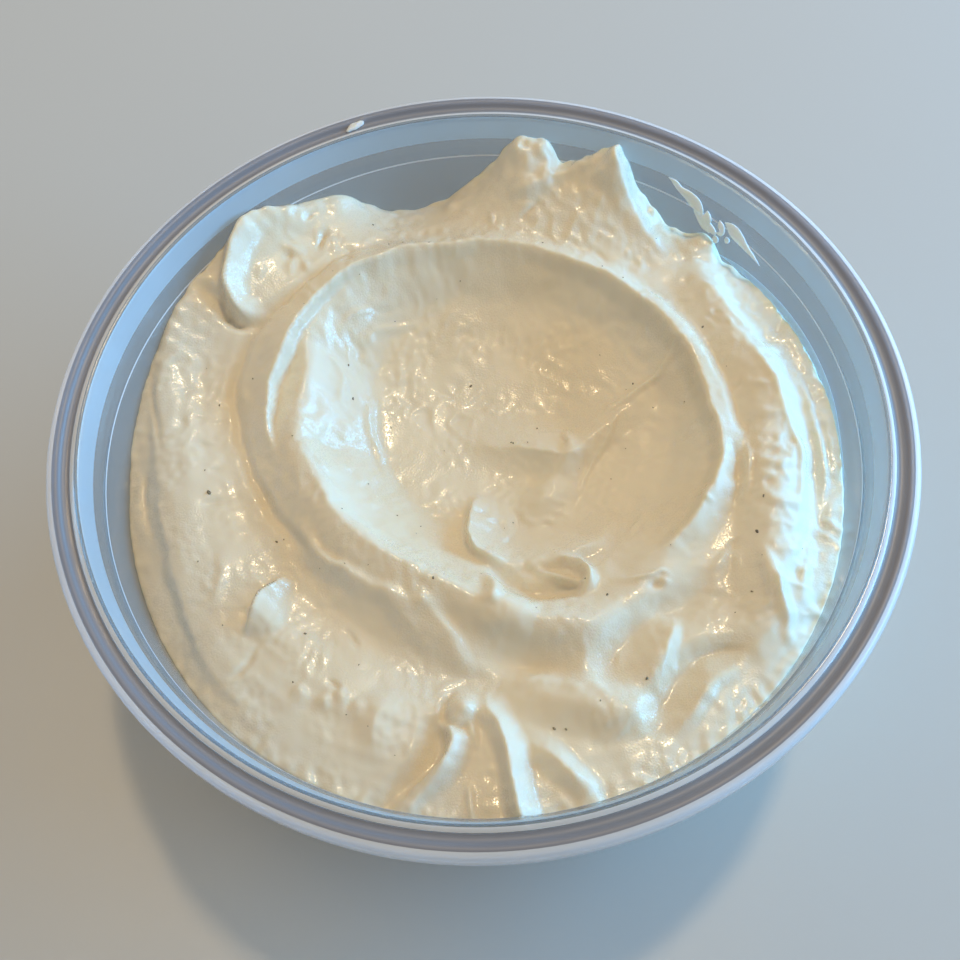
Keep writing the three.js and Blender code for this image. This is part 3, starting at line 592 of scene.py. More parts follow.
def dip_surface(x, y, settings):
    """Height of the dip over flat arrays of x and y, and how far its crests lean sideways."""
    radius = np.hypot(x, y)
    angle = np.arctan2(y, x)
    height = np.full(x.shape, float(LEVEL))
    for (at_x, at_y), (along, across), turn, rise in SWELLS:
        c, s = math.cos(math.radians(turn)), math.sin(math.radians(turn))
        u = ((x - at_x) * c + (y - at_y) * s) / along
        v = ((y - at_y) * c - (x - at_x) * s) / across
        height += rise * np.exp(-1.2 * (u * u + v * v))
    drawn_x = x + WOBBLE * (noise(x, y, 4, 31) + 0.4 * noise(x, y, 1.5, 32))
    drawn_y = y + WOBBLE * (noise(x, y, 4, 33) + 0.4 * noise(x, y, 1.5, 34))
    height = with_scoop(height, drawn_x, drawn_y)
    blend = np.clip((radius - BLEND_START) / (BLEND_END - BLEND_START), 0, 1) ** BLEND_POWER
    height += blend * (edge_height(angle, radius) - height)
    peaks = towards(angle, PEAKS) ** 24
    ragged = RAGGED_EDGE * (1 + 1.6 * peaks) * smoothstep(radius, 47 - 3 * peaks, EDGE_RADIUS)
    height += ragged * noise(x, y, 1.7, 12)
    shift = np.zeros(x.shape + (2,))
    for stroke in STROKES:
        add_stroke(stroke, drawn_x, drawn_y, height, shift)
    height += grain(x, y, settings)
    shift *= smoothstep(radius, EDGE_RADIUS, 46)[:, None]
    return height, shift


# ----- Modelling helpers -----


def select_only(*pieces):
    """Selects these pieces and nothing else, and makes the first of them active."""
    if bpy.context.object and bpy.context.object.mode != "OBJECT":
        bpy.ops.object.mode_set(mode="OBJECT")
    bpy.ops.object.select_all(action="DESELECT")
    for piece in pieces:
        piece.select_set(True)
    if pieces:
        bpy.context.view_layer.objects.active = pieces[0]


def take_new(name):
    """Names the active piece, which was just made, and its mesh."""
    piece = bpy.context.object
    piece.name = name
    piece.data.name = name
    return piece


def join(pieces, name):
    select_only(*pieces)
    bpy.ops.object.join()
    return take_new(name)


def points_of(piece):
    points = np.empty(len(piece.data.vertices) * 3)
    piece.data.vertices.foreach_get("co", points)
    return points.reshape(-1, 3) / MM


def move_points(piece, points):
    piece.data.vertices.foreach_set("co", (np.asarray(points) * MM).ravel())
    piece.data.update()


def settle(piece):
    """Puts the object at the origin, with its place in its mesh."""
    select_only(piece)
    bpy.ops.object.transform_apply(location=True, rotation=True, scale=True)


def face_outwards():
    """Makes the faces of the mesh in edit mode point out of their closed body."""
    bpy.ops.mesh.select_all(action="SELECT")
    bpy.ops.mesh.normals_make_consistent(inside=False)


def finish_piece(piece, materials, replaced=None):
    """Smooths a piece, gives it its materials and ties it to the part."""
    select_only(piece)
    bpy.ops.object.shade_smooth()
    piece.data.materials.clear()
    for material in materials:
        piece.data.materials.append(material)
    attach(piece, "root")
    if replaced:
        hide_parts(replaced)


# ----- Material helpers -----


def set_inputs(tree, node, inputs):
    """Gives a node's inputs, by name or number, a value or a link."""
    for name, value in inputs.items():
        if isinstance(value, bpy.types.NodeSocket):
            tree.links.new(value, node.inputs[name])
        else:
            node.inputs[name].default_value = value


def add_node(tree, kind, inputs=None, **settings):
    node = tree.nodes.new(kind)
    for name, value in settings.items():
        setattr(node, name, value)
    set_inputs(tree, node, inputs or {})
    return node


def mottle_group():
    """Node group: an uneven mask over the surface, 0 to 1."""
    group = bpy.data.node_groups.get("Mottle")
    if group:
        return group
    group = bpy.data.node_groups.new("Mottle", "ShaderNodeTree")
    group.interface.new_socket("Vector", in_out="INPUT", socket_type="NodeSocketVector")
    for name in ("Scale", "Low", "High", "Detail"):
        group.interface.new_socket(name, in_out="INPUT", socket_type="NodeSocketFloat")
    group.interface.new_socket("Mask", in_out="OUTPUT", socket_type="NodeSocketFloat")
    given = add_node(group, "NodeGroupInput").outputs
    cloud = add_node(group, "ShaderNodeTexNoise", {
        "Vector": given["Vector"], "Scale": given["Scale"], "Detail": given["Detail"],
    })
    spread = add_node(group, "ShaderNodeMapRange", {
        "Value": cloud.outputs["Fac"], "From Min": given["Low"], "From Max": given["High"],
    }, interpolation_type="SMOOTHSTEP")
    add_node(group, "NodeGroupOutput", {"Mask": spread.outputs["Result"]})
    return group


def mottle(tree, place, scale, low, high, detail=3.0):
    """An uneven mask with so many patches to a metre, spread out between low and high."""
    inputs = {"Vector": place, "Scale": scale, "Low": low, "High": high, "Detail": detail}
    return add_node(tree, "ShaderNodeGroup", inputs, node_tree=mottle_group()).outputs["Mask"]


def fine_noise(tree, place, scale, detail):
    """Noise with so many bumps to a metre."""
    inputs = {"Vector": place, "Scale": scale, "Detail": detail}
    return add_node(tree, "ShaderNodeTexNoise", inputs).outputs["Fac"]


def remap(tree, mask, low, high):
    """A mask turned into a value from low to high."""
    inputs = {"Value": mask, "To Min": low, "To Max": high}
    return add_node(tree, "ShaderNodeMapRange", inputs).outputs["Result"]


def multiply(tree, a, b):
    return add_node(tree, "ShaderNodeMath", {0: a, 1: b}, operation="MULTIPLY").outputs[0]


def mix_colour(tree, mask, low, high):
    """A colour from low to high by a mask, each a colour or a link to one."""
    ends = [c if isinstance(c, bpy.types.NodeSocket) else (*c, 1.0) for c in (low, high)]
    inputs = {"Factor": mask, 6: ends[0], 7: ends[1]}
    return add_node(tree, "ShaderNodeMix", inputs, data_type="RGBA").outputs[2]


def bump(tree, height, distance):
    inputs = {"Height": height, "Distance": distance}
    return add_node(tree, "ShaderNodeBump", inputs).outputs["Normal"]


def new_material(name):
    """A material with its node tree, its shader and its object coordinates."""
    material = bpy.data.materials.new(name)
    material.use_nodes = True
    tree = material.node_tree
    place = add_node(tree, "ShaderNodeTexCoord").outputs["Object"]
    return material, tree, tree.nodes["Principled BSDF"], place


def scaled(colour, factor):
    return [c * factor for c in colour]


# ----- Settings -----


def colour_setting(name, about, default):
    return FloatVectorProperty(
        name=name, description=about, subtype="COLOR", size=3, default=default, min=0, max=1
    )


def share_setting(name, about, default):
    return FloatProperty(
        name=name, description=about, subtype="FACTOR", default=default, min=0, max=1
    )


def length_setting(name, about, default):
    """A length, with its default in millimetres."""
    return FloatProperty(name=name, description=about, unit="LENGTH", default=default * MM, min=0)


def power_setting(name, about, default):
    return FloatProperty(name=name, description=about, unit="POWER", default=default, min=0)


class TubSettings(PropertyGroup):
    steps: IntProperty(
        name="Steps round", description="Faces round the tub", default=192, min=24, max=384
    )
    rounding: length_setting("Edge rounding", "How far each moulded edge is rounded off", 0.35)
    colour: colour_setting("Plastic", "Tint of the clear plastic", (0.5, 0.55, 0.59))
    # The plastic's tint is darker on the upper wall, as painted shade from the rim; this lighter tint is
    # the lower wall out of that shade.
    unshaded_low_colour: colour_setting(
        "Lower wall out of painted shade", "Lighter tint low on the wall, out of the painted shade above", (0.95, 0.95, 0.95)
    )
    # The whitish tint of the thick edges is a painted highlight.
    edge_highlight_colour: colour_setting(
        "Edges", "Whitish painted highlight on the thick moulded edges", (0.85, 0.87, 0.92)
    )
    flange_colour: colour_setting(
        "Flange", "Tint of the matt flange on the rim", (0.29, 0.285, 0.32)
    )
    # The frosted band's roughness is real, but its light-blue tint is a painted cool sheen.
    funnel_sheen_colour: colour_setting(
        "Funnel", "Light-blue painted cool sheen on the frosted wall just inside the rim", (0.62, 0.78, 0.92)
    )
    clearness: share_setting("Clearness", "Share of the light that passes through", 0.82)
    edge_clearness: share_setting(
        "Edge clearness", "Share of the light that passes the thick edges", 0.25
    )
    funnel_clearness: share_setting(
        "Funnel clearness", "Share of the light that passes the frosted wall", 0.5
    )
    roughness: share_setting("Roughness", "How matt the moulded plastic is", 0.14)


class DipSettings(PropertyGroup):
    squares: IntProperty(
        name="Squares", description="Squares of the surface from side to side",
        default=296, min=32, max=298,
    )
    lump_height: length_setting("Lumps", "Height of the soft lumps", 0.12)
    drag_height: length_setting("Drag lines", "Height of the spoon's drag lines", 0.07)
    curd_height: length_setting("Curd", "Height of the small curd", 0.11)
    fold_height: length_setting("Folds", "Height of the small crumpled folds", 0.4)
    skin_relief: length_setting("Skin relief", "Depth of the finest relief, in the finish", 0.05)
    colour: colour_setting("Cream", "Colour of the dip", (0.84, 0.755, 0.60))
    shade_tint: colour_setting("Shade", "Tint of the darker patches", (0.98, 0.95, 0.9))
    wet_roughness: share_setting("Wet roughness", "Roughness of the wet patches", 0.2)
    dry_roughness: share_setting("Dry roughness", "Roughness of the dry patches", 0.46)
    wetness: share_setting("Wetness", "Strength of the gloss in the wet drops", 1.0)
    drop_density: FloatProperty(
        name="Drops", description="Wet drops to a metre of the skin", default=4200.0, min=0
    )
    translucency: share_setting("Translucency", "Share of light that spreads inside", 0.3)
    light_depth: length_setting("Light depth", "How far light spreads inside", 1.6)


class SpeckSettings(PropertyGroup):
    size: length_setting("Speck size", "Length of a speck", 0.48)
    fine_count: IntProperty(
        name="Fine specks", description="How many very small specks are strewn over the dip",
        default=60, min=0,
    )
    colour: colour_setting("Speck", "Colour of the herb specks", (0.14, 0.12, 0.08))


class SmearSettings(PropertyGroup):
    thickness: length_setting("Thickness", "Thickness of the smears on the wall", 0.6)
    colour: colour_setting("Smear", "Colour of the thin dip", (0.93, 0.93, 0.9))
    # The thin film itself is real, but its light-blue colour is painted cool light.
    film_cool_light_colour: colour_setting(
        "Film", "Light-blue painted cool light on the thin film at the dip's edge", (0.62, 0.78, 0.92)
    )


class StudioSettings(PropertyGroup):
    floor_colour: colour_setting("Floor", "Colour of the floor", (0.6, 0.6, 0.6))
    window_power: power_setting("Window", "Power of the cool light from the right", 5.2)
    lamp_power: power_setting("Lamp", "Power of the warm light from above", 1.5)
    daylight: FloatProperty(
        name="Daylight", description="Strength of the even light from all round",
        default=0.42, min=0,
    )


# ----- Tub -----


def tub_profile():
    """Outline of the tub's wall, from the underside's middle round to the floor's middle."""
    foot_inside = FOOT_RADIUS - FOOT_WIDTH
    foot = [
        (0, FOOT_RECESS), (foot_inside - FOOT_RECESS, FOOT_RECESS), (foot_inside, 0),
        (FOOT_RADIUS, 0),
    ]
    outside = corner_arc(CORNER_RADIUS + WALL, 10)[::-1]
    inside = corner_arc(CORNER_RADIUS, 10)
    return [*foot, *outside, *RIM[::-1], *FUNNEL[::-1], *inside, (0, FLOOR_HEIGHT)]


def rounded(points, radius, steps=3):
    """The same outline with each corner between its ends rounded off."""
    points = [np.array(p, float) for p in points]
    smooth = [points[0]]
    for before, corner, after in zip(points[:-2], points[1:-1], points[2:]):
        into, out = corner - before, after - corner
        back = min(radius, 0.45 * np.linalg.norm(into)) / np.linalg.norm(into)
        on = min(radius, 0.45 * np.linalg.norm(out)) / np.linalg.norm(out)
        start, end = corner - back * into, corner + on * out
        for t in np.linspace(0, 1, steps + 1):
            smooth.append((1 - t) ** 2 * start + 2 * t * (1 - t) * corner + t**2 * end)
    smooth.append(points[-1])
    return smooth


def spin_outline(name, outline, steps):
    """Draws an outline of (radius, height) from axis to axis and spins it into a closed body."""
    select_only()
    bpy.ops.mesh.primitive_plane_add(size=MM, location=(0, 0, 0))
    piece = take_new(name)
    bpy.ops.object.mode_set(mode="EDIT")
    bpy.ops.mesh.merge(type="CENTER")
    here = np.zeros(2)
    for i, point in enumerate(outline):
        step = (point - here) * MM
        move = {"value": (step[0], 0, step[1])}
        if i:
            bpy.ops.mesh.extrude_region_move(TRANSFORM_OT_translate=move)
        else:
            bpy.ops.transform.translate(**move)
        here = point
    bpy.ops.mesh.select_all(action="SELECT")
    bpy.ops.mesh.spin(steps=steps, angle=2 * math.pi, center=(0, 0, 0), axis=(0, 0, 1))
    bpy.ops.mesh.select_all(action="SELECT")
    bpy.ops.mesh.remove_doubles(threshold=0.01 * MM)
    face_outwards()
    bpy.ops.object.mode_set(mode="OBJECT")
    return piece


# Finishes of the tub's faces, by the number of their material: clear, a whitish painted highlight on the
# thin edges, a matt flange, and a frosted band with a light-blue painted cool sheen.
CLEAR, PAINTED_HIGHLIGHT, MATT, FROSTED_WITH_SHEEN = range(4)
MATT_ROUGHNESS = 0.25  # how much rougher the matt and frosted finishes are
# Heights over which the painted shade on the upper wall fades into the lighter lower wall.
PAINTED_SHADE_HEIGHTS = (29.5, 16)  # heights between which the wall takes on its lower tint


def finish_of(radius, z):
    """Which finish a face of the tub has, by its place."""
    on_outer_edge = radius > 57.55 and z > 41.4
    on_bead = 54.5 < radius < 55.1 and z > 44.6
    on_ledge = abs(radius - LEDGE_RADIUS) < 0.2 and abs(z - LEDGE_HEIGHT) < 0.16
    # These thin edges get the whitish painted highlight.
    if on_outer_edge or on_bead or on_ledge:
        return PAINTED_HIGHLIGHT
    if radius > 55.2 and z > 44:
        return MATT
    # The frosted band, rougher and tinted light blue as a painted cool sheen.
    if 53 < radius < 54.1 and z > 41.4:
        return FROSTED_WITH_SHEEN
    return CLEAR


def plastic_material(name, colour, clearness, roughness, unshaded_low_colour):
    """Clear moulded plastic, a little milky, with faint scuffs, tinted darker on the upper wall as
    painted shade from the rim and lighter low down.
    """
    material, tree, shader, place = new_material(name)
    milk = mottle(tree, place, scale=30, low=0.3, high=0.75)
    height = add_node(tree, "ShaderNodeSeparateXYZ", {"Vector": place}).outputs["Z"]
    # 0 on the upper wall, in the painted shade, rising to 1 low on the wall.
    below_painted_shade = add_node(tree, "ShaderNodeMapRange", {
        "Value": height, "From Min": PAINTED_SHADE_HEIGHTS[0] * MM, "From Max": PAINTED_SHADE_HEIGHTS[1] * MM,
    }, interpolation_type="SMOOTHSTEP").outputs["Result"]
    tint = mix_colour(tree, milk, colour, scaled(colour, 0.9))
    scuffs = mottle(tree, place, scale=250, low=0.5, high=0.75, detail=2.0)
    ripple = fine_noise(tree, place, scale=90, detail=2)
    set_inputs(tree, shader, {
        "Base Color": mix_colour(tree, below_painted_shade, tint, unshaded_low_colour),
        "Roughness": remap(tree, scuffs, roughness, roughness + 0.08),
        "Normal": bump(tree, ripple, 0.04 * MM),
        "Transmission Weight": clearness,
        "IOR": 1.49,
    })
    return material


class TUB_OT_make(Operator):
    """Make the clear tub: a moulded wall with a rolled rim, a stacking ledge and a foot ring"""

    bl_idname = "dip_tub.make_tub"
    bl_label = "Make tub"

    def execute(self, context):
        settings = context.scene.tub_settings
        outline = rounded(tub_profile(), settings.rounding / MM)
        tub = spin_outline("clear_tub", outline, settings.steps)
        settle(tub)
        edges, funnel = settings.edge_clearness, settings.funnel_clearness
        smooth, matt = settings.roughness, settings.roughness + MATT_ROUGHNESS
        # The edges' whitish tint is a painted highlight, and the frosted band's light-blue tint is a
        # painted cool sheen.
        finishes = (
            ("Clear plastic", settings.colour, settings.clearness, smooth),
            ("Milky edge", settings.edge_highlight_colour, edges, smooth),
            ("Matt flange", settings.flange_colour, edges, matt),
            ("Frosted funnel", settings.funnel_sheen_colour, funnel, matt),
        )
        materials = [plastic_material(*finish, settings.unshaded_low_colour) for finish in finishes]
        finish_piece(tub, materials, "tub")
        for face in tub.data.polygons:
            place = face.center / MM
            face.material_index = finish_of(math.hypot(place.x, place.y), place.z)
        tub.visible_shadow = False  # clear plastic lets the light on to the dip
        return {"FINISHED"}


# ----- Dip -----

LIGHT_SPREAD = (1.0, 0.75, 0.45)  # how far red, green and blue spread inside, against each other


def cream_material(name, settings, colour, alpha=1.0):
    """Thick yoghurt: soft light inside, a skin that is wet in small drops, and fine curd."""
    material, tree, shader, place = new_material(name)
    patches = mottle(tree, place, scale=60, low=0.35, high=0.7, detail=1.0)
    shade = [c * t for c, t in zip(colour, settings.shade_tint)]
    dry = mottle(tree, place, scale=90, low=0.4, high=0.6, detail=4.0)
    drops = mottle(tree, place, settings.drop_density, low=0.5, high=0.62, detail=0.0)
    wet = remap(tree, dry, settings.wetness, 0.1 * settings.wetness)
    relief = multiply(tree, fine_noise(tree, place, scale=3600, detail=1), wet)
    set_inputs(tree, shader, {
        "Base Color": mix_colour(tree, patches, colour, shade),
        "Roughness": remap(tree, dry, settings.wet_roughness, settings.dry_roughness),
        "Coat Weight": multiply(tree, drops, wet),
        "Coat Roughness": 0.14,
        "Normal": bump(tree, relief, settings.skin_relief),
        "Subsurface Weight": settings.translucency,
        "Subsurface Radius": LIGHT_SPREAD,
        "Subsurface Scale": settings.light_depth,
        "IOR": 1.4,
        "Alpha": alpha,
    })
    return material


def square_to_disc(a, b):
    """Polar place in a disc of radius 1 of points in a square from -1 to 1."""
    wide = abs(a) > abs(b)
    radius = np.where(wide, a, b)
    safe = np.where(radius == 0, 1, radius)
    turn = np.where(wide, math.pi / 4 * b / safe, math.pi / 2 - math.pi / 4 * a / safe)
    turn = np.where(radius < 0, turn + math.pi, turn)
    return abs(radius), turn


def edge_radius(turn, settings):
    """Radius at which the dip's surface meets the wall, by direction."""
    radius = np.full(turn.shape, float(LEDGE_RADIUS))
    for _ in range(4):  # each round comes closer
        height, _ = dip_surface(radius * np.cos(turn), radius * np.sin(turn), settings)
        radius = wall_radius(height) + INTO_WALL
    return radius


def dip_points(a, b, settings):
    """Points of the dip's surface for a square grid of points from -1 to 1."""
    share, turn = square_to_disc(a, b)
    directions = np.linspace(-math.pi, math.pi, 4 * 360 + 1)
    edge = np.interp(turn, directions, edge_radius(directions, settings), period=2 * math.pi)
    x, y = share * edge * np.cos(turn), share * edge * np.sin(turn)
    height, shift = dip_surface(x, y, settings)
    return np.column_stack([x + shift[:, 0], y + shift[:, 1], height])


def extrude_edge_to(piece, row):
    """Extrudes the selected edge loop, whose new points go to the radius and height row(z)."""
    bpy.ops.mesh.extrude_region()
    body = bmesh.from_edit_mesh(piece.data)
    for point in body.verts:
        if point.select:
            turn = math.atan2(point.co.y, point.co.x)
            radius, z = row(point.co.z / MM)
            point.co = Vector((radius * math.cos(turn), radius * math.sin(turn), z)) * MM
    bmesh.update_edit_mesh(piece.data)


def below_edge(z):
    """Place on the wall a little below the dip's edge, and never on the ledge."""
    lower = min(LEDGE_HEIGHT, z - 1.5)
    return float(wall_radius(lower)) + INTO_WALL, lower


def close_underside(piece):
    """Walks the dip's open edge down the wall and round the corner, and closes its floor."""
    bpy.ops.object.mode_set(mode="EDIT")
    bpy.ops.mesh.select_all(action="DESELECT")
    body = bmesh.from_edit_mesh(piece.data)
    body.select_mode = {"EDGE"}
    for edge in body.edges:
        edge.select_set(edge.is_boundary)
    body.select_flush_mode()
    bpy.context.tool_settings.mesh_select_mode = (False, True, False)
    bmesh.update_edit_mesh(piece.data)
    extrude_edge_to(piece, below_edge)
    for place in corner_arc(CORNER_RADIUS + INTO_WALL, 5):
        extrude_edge_to(piece, lambda _, place=place: place)
    bpy.ops.mesh.extrude_region()
    bpy.ops.mesh.merge(type="CENTER")
    face_outwards()
    bpy.ops.object.mode_set(mode="OBJECT")


class DIP_OT_make(Operator):
    """Make the dip: a grid bent to the round tub, swirled as by a spoon and closed underneath"""

    bl_idname = "dip_tub.make_dip"
    bl_label = "Make dip"

    def execute(self, context):
        settings = context.scene.dip_settings
        select_only()
        bpy.ops.mesh.primitive_grid_add(
            x_subdivisions=settings.squares, y_subdivisions=settings.squares, size=2
        )
        dip = take_new("tzatziki")
        square = points_of(dip) * MM
        move_points(dip, dip_points(square[:, 0], square[:, 1], settings))
        close_underside(dip)
        dip.shadow_terminator_geometry_offset = 0.4
        settle(dip)
        finish_piece(dip, [cream_material("Cream", settings, settings.colour)], "dip")
        return {"FINISHED"}


# ----- Specks of herb and pepper -----

# Places on the dip, in millimetres, and size against the usual speck.
SPECKS = [
    (-38.5, -2, 1.6), (-29, -10, 1), (-25, -24, 1), (-32.5, 16, 0.8), (-37.5, 12.5, 0.8),
    (-19, 20, 0.9), (-18.5, 14.5, 1), (-1, 17.3, 1), (23, 14.5, 0.8), (33.5, 20, 0.9),
    (38, -9, 1), (36.5, -14, 1.1), (34.7, -22.5, 0.9), (15.5, -21.5, 1), (-7.5, -18.5, 0.9),
    (7, -39.5, 1), (8.5, -39.7, 0.8), (19.5, -33.7, 1.1), (-14.5, 43, 0.9),
]
STREWN_RADIUS = 46  # how far out the very small specks lie


def speck_material(settings):
    material, tree, shader, place = new_material("Herb specks")
    patches = mottle(tree, place, scale=900, low=0.4, high=0.6)
    set_inputs(tree, shader, {
        "Base Color": mix_colour(tree, patches, settings.colour, scaled(settings.colour, 2.2)),
        "Roughness": 0.45,
    })
    return material


class SPECKS_OT_make(Operator):
    """Make the specks of herb and pepper, half sunk in the dip"""

    bl_idname = "dip_tub.make_specks"
    bl_label = "Make specks"

    def execute(self, context):
        settings = context.scene.speck_settings
        random = np.random.default_rng(11)
        spots = list(SPECKS)
        for _ in range(settings.fine_count):
            away = STREWN_RADIUS * math.sqrt(random.random())
            turn = random.uniform(0, 2 * math.pi)
            spots.append((away * math.cos(turn), away * math.sin(turn), random.uniform(0.35, 0.6)))
        places = np.array(spots)
        heights, _ = dip_surface(places[:, 0], places[:, 1], context.scene.dip_settings)
        flakes = []
        for (x, y, scale), z in zip(spots, heights):
            select_only()
            length = settings.size * scale
            bpy.ops.mesh.primitive_ico_sphere_add(
                subdivisions=2, radius=length / 2, location=(x * MM, y * MM, z * MM)
            )
            flake = take_new("speck")
            flake.scale = (1, random.uniform(0.45, 0.75), 0.4)
            flake.rotation_euler = (0, 0, random.uniform(0, math.pi))
            settle(flake)
            jitter = random.normal(0, 0.06 * length / MM, (len(flake.data.vertices), 3))
            move_points(flake, points_of(flake) + jitter)
            flakes.append(flake)
        finish_piece(join(flakes, "specks"), [speck_material(settings)])
        return {"FINISHED"}


# ----- Smears of thin dip on the tub's wall -----

# Each smear is a path on the inside of the wall: (direction, height, half width).
SMEARS = [
    [(54.8, 41.2, 0.3), (53.4, 40.9, 0.6), (52, 40.2, 0.5), (50.4, 39.9, 0.75), (48.8, 39.4, 0.9),
     (47.4, 38.8, 0.7), (46.6, 38, 0.4)],
    [(48.8, 38.4, 0.3), (47.2, 37.7, 0.7), (45.8, 36.9, 0.9), (44.6, 36, 0.6)],
    [(46.4, 39.4, 0.3), (46, 38.6, 0.7), (45.8, 37.8, 0.8), (45.4, 37, 0.4)],
    [(43.8, 39.2, 0.3), (43.2, 38.6, 0.6), (42.6, 37.9, 0.5), (42.8, 37.2, 0.5), (43.6, 36.8, 0.3)],
    [(46.2, 37.8, 0.5), (45.2, 37.3, 0.6), (44.2, 36.8, 0.6), (43.4, 36.6, 0.5)],
    [(43.8, 36.2, 0.4), (43.3, 35.7, 0.6), (43.3, 35, 0.4)],
    [(41.6, 37.4, 0.3), (41.2, 36.9, 0.5), (41.3, 36.3, 0.3)],
    [(43, 39.3, 0.5), (41.6, 39.2, 0.9), (40.2, 38.8, 1), (38.6, 38.4, 0.8), (37, 38, 0.5),
     (35.2, 37.6, 0.35), (33.2, 37, 0.2)],
]
EDGE_FILM = [
    (42, 33.6, 0.4), (38, 33.9, 0.7), (32, 34.1, 0.7), (24, 34.3, 0.8), (15.5, 34.2, 0.8),
    (8, 33.9, 0.7), (-0.5, 33, 0.5), (-9, 32.6, 0.3),
]
RIM_SMEAR = (-15.8, 54.2, 44.5)
SMEAR_ALPHA = 0.92
FILM_ALPHA = 0.6


def rim_smear():
    """A small blob wiped on to the rim."""
    select_only()
    bpy.ops.mesh.primitive_uv_sphere_add(segments=16, ring_count=12, radius=MM)
    smear = take_new("smear")
    ball = points_of(smear)
    bumps = 1 + 0.25 * noise(ball[:, 0], ball[:, 1], 0.5, 21)
    move_points(smear, ball * bumps[:, None])
    smear.scale = (2.1, 0.7, 0.35)
    smear.rotation_euler = (0, 0, math.radians(38))
    smear.location = Vector(RIM_SMEAR) * MM
    settle(smear)
    return smear


def wall_smear(name, path, thickness):
    """A flat blob that follows a path over the inside of the wall, tapering to its ends."""
    select_only()
    bpy.ops.mesh.primitive_uv_sphere_add(segments=16, ring_count=40, radius=1)
    smear = take_new(name)
    line = through_points(path, 8)
    ball = points_of(smear) * MM
    share = (np.arcsin(np.clip(ball[:, 2], -1, 1)) / math.pi + 0.5) * (len(line) - 1)
    steps = np.arange(len(line))
    turn, z, width = (np.interp(share, steps, line[:, k]) for k in range(3))
    turn = np.radians(turn)
    taper = np.sqrt(np.clip(1 - ball[:, 2] ** 4, 0, 1))
    ring = np.hypot(ball[:, 0], ball[:, 1])
    ring = np.where(ring == 0, 1, ring)
    across, out = ball[:, 0] / ring * taper * width, ball[:, 1] / ring * taper * thickness / 2
    run = np.gradient(line, axis=0)
    slope_turn = np.interp(share, steps, np.radians(run[:, 0])) * LEDGE_RADIUS
    slope_z = np.interp(share, steps, run[:, 1])
    length = np.hypot(slope_turn, slope_z)
    turn = turn - across * slope_z / length / LEDGE_RADIUS
    z = z + across * slope_turn / length
    radius = wall_radius(z) - out - thickness * 0.15
    move_points(smear, np.column_stack([radius * np.cos(turn), radius * np.sin(turn), z]))
    return smear


class SMEARS_OT_make(Operator):
    """Make the smears and the thin film that the dip left on the wall"""

    bl_idname = "dip_tub.make_smears"
    bl_label = "Make wall smears"

    def execute(self, context):
        settings = context.scene.smear_settings
        dip = context.scene.dip_settings
        thickness = settings.thickness / MM
        parts = [wall_smear("smear", path, thickness) for path in SMEARS]
        smears = join([*parts, rim_smear()], "wall_smears")
        fuse = smears.modifiers.new("Fuse", "REMESH")
        fuse.mode = "VOXEL"
        fuse.voxel_size = 0.12 * MM
        bpy.ops.object.modifier_apply(modifier=fuse.name)
        settle(smears)
        thin_dip = cream_material("Thin dip", dip, settings.colour, SMEAR_ALPHA)
        finish_piece(smears, [thin_dip])
        film = wall_smear("edge_film", EDGE_FILM, thickness / 2)
        # The film's light-blue colour is painted cool light on a thin translucent film of dip.
        film_with_painted_light = cream_material("Thin film with painted cool light", dip, settings.film_cool_light_colour, FILM_ALPHA)
        finish_piece(film, [film_with_painted_light])
        return {"FINISHED"}


# ----- Floor, lights and camera -----

CAMERA_PLACE = Vector((0, -101.08, 216.78)) * MM
CAMERA_TARGET = Vector((-0.46, -8.12, 44.2)) * MM
CAMERA_ROLL = math.radians(-3.88)
CAMERA_LENS = 55.67
FLOOR_SIZE = 4.0
DAYLIGHT_COLOUR = (1.0, 0.97, 0.87, 1.0)

# Lights: name, azimuth, elevation, distance and size in metres, colour.
WINDOW = ("Window", 12, 14, 0.6, (0.7, 0.24), (0.17, 0.56, 1.0))
LAMP = ("Lamp", 64, 64, 0.7, (0.06, 0.06), (1.0, 0.74, 0.42))


def add_floor(colour):
    select_only()
    bpy.ops.mesh.primitive_plane_add(size=FLOOR_SIZE)
    floor = take_new("studio_floor")
    material, tree, shader, place = new_material("Studio floor")
    patches = mottle(tree, place, scale=3, low=0.3, high=0.7)
    set_inputs(tree, shader, {
        "Base Color": mix_colour(tree, patches, colour, scaled(colour, 0.97)), "Roughness": 0.8,
    })
    floor.data.materials.append(material)


def add_light(kind, power):
    """Area light at a direction round the tub, aimed at the dip."""
    name, azimuth, elevation, distance, size, colour = kind
    a, e = math.radians(azimuth), math.radians(elevation)
    out = Vector((math.cos(a) * math.cos(e), math.sin(a) * math.cos(e), math.sin(e)))
    aim = Vector((0, 0, LEVEL * MM))
    bpy.ops.object.light_add(type="AREA", location=aim + out * distance)
    light = bpy.context.object
    light.name = name
    light.rotation_mode = "QUATERNION"
    light.rotation_quaternion = (-out).to_track_quat("-Z", "Y")
    light.data.shape = "RECTANGLE"
    light.data.size, light.data.size_y = size
    light.data.energy = power
    light.data.color = colour


def add_world(strength):
    """Even light from all round."""
    world = bpy.data.worlds.new("Studio")
    world.use_nodes = True
    background = world.node_tree.nodes["Background"]
    background.inputs["Color"].default_value = DAYLIGHT_COLOUR
    background.inputs["Strength"].default_value = strength
    bpy.context.scene.world = world


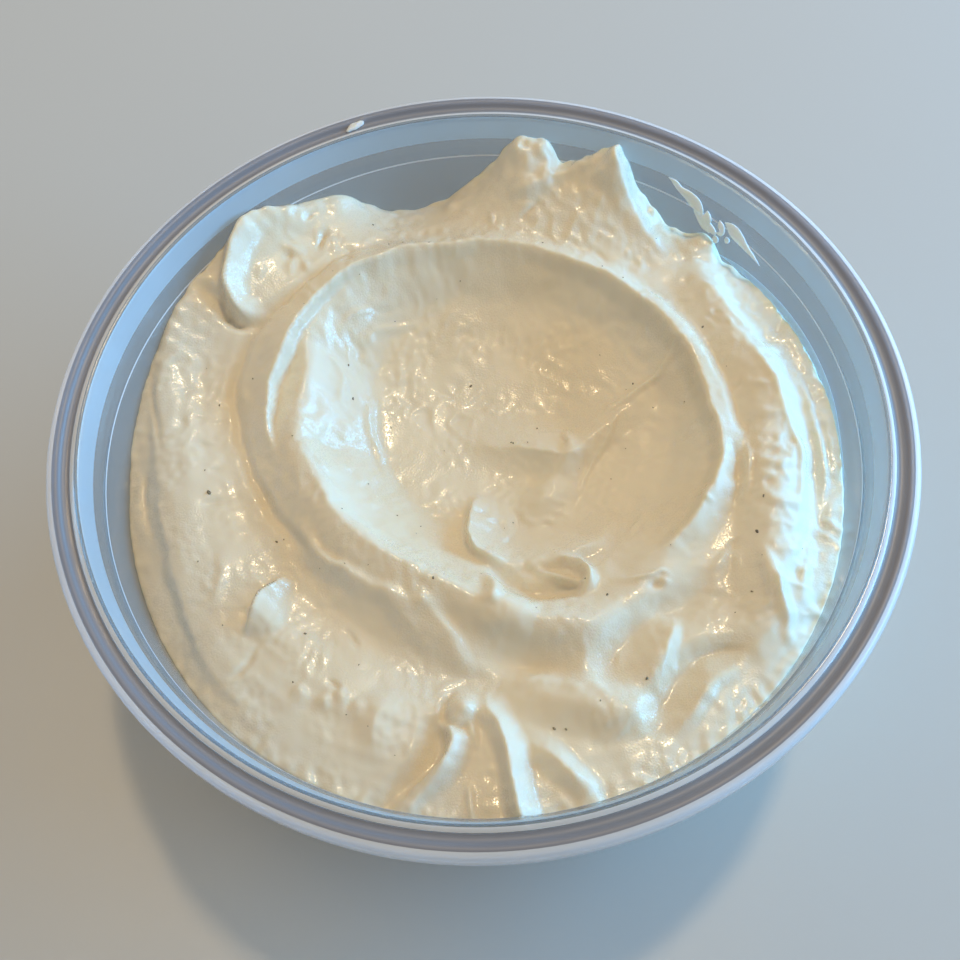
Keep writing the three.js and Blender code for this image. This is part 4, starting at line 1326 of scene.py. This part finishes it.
def add_camera():
    ahead = (CAMERA_TARGET - CAMERA_PLACE).normalized()
    right = ahead.cross(Vector((0, 0, 1))).normalized()
    up = right.cross(ahead)
    turned_right = math.cos(CAMERA_ROLL) * right + math.sin(CAMERA_ROLL) * up
    turned_up = math.cos(CAMERA_ROLL) * up - math.sin(CAMERA_ROLL) * right
    bpy.ops.object.camera_add()
    camera = bpy.context.object
    axes = Matrix((turned_right, turned_up, -ahead)).transposed().to_4x4()
    camera.matrix_world = Matrix.Translation(CAMERA_PLACE) @ axes
    camera.data.lens = CAMERA_LENS
    camera.data.sensor_width = 36
    camera.data.clip_start = 1 * MM
    bpy.context.scene.camera = camera


class STUDIO_OT_make(Operator):
    """Make the pale floor, the soft lights and the camera"""

    bl_idname = "dip_tub.make_studio"
    bl_label = "Make studio"

    def execute(self, context):
        settings = context.scene.studio_settings
        add_floor(settings.floor_colour)
        add_light(WINDOW, settings.window_power)
        add_light(LAMP, settings.lamp_power)
        add_world(settings.daylight)
        context.scene.view_settings.view_transform = "Standard"
        add_camera()
        return {"FINISHED"}


# ----- Panel and registration -----

STEPS = (STUDIO_OT_make, TUB_OT_make, DIP_OT_make, SPECKS_OT_make, SMEARS_OT_make)
SETTINGS = {
    "tub_settings": TubSettings,
    "dip_settings": DipSettings,
    "speck_settings": SpeckSettings,
    "smear_settings": SmearSettings,
    "studio_settings": StudioSettings,
}


class VIEW3D_PT_dip_tub(Panel):
    """Buttons that make each piece, with the sizes and colours they use"""

    bl_label = "Dip tub"
    bl_space_type = "VIEW_3D"
    bl_region_type = "UI"
    bl_category = "Dip tub"

    def draw(self, context):
        layout = self.layout
        for step in STEPS:
            layout.operator(step.bl_idname)
        for name, kind in SETTINGS.items():
            group = getattr(context.scene, name)
            box = layout.box()
            for key in kind.__annotations__:
                box.prop(group, key)


CLASSES = (*SETTINGS.values(), *STEPS, VIEW3D_PT_dip_tub)


def register():
    for kind in CLASSES:
        bpy.utils.register_class(kind)
    for name, kind in SETTINGS.items():
        setattr(bpy.types.Scene, name, PointerProperty(type=kind))


def unregister():
    for name in SETTINGS:
        delattr(bpy.types.Scene, name)
    for kind in reversed(CLASSES):
        bpy.utils.unregister_class(kind)


def main():
    register()
    bpy.ops.dip_tub.make_studio()
    bpy.ops.dip_tub.make_tub()
    bpy.ops.dip_tub.make_dip()
    bpy.ops.dip_tub.make_specks()
    bpy.ops.dip_tub.make_smears()


if __name__ == "__main__":
    main()
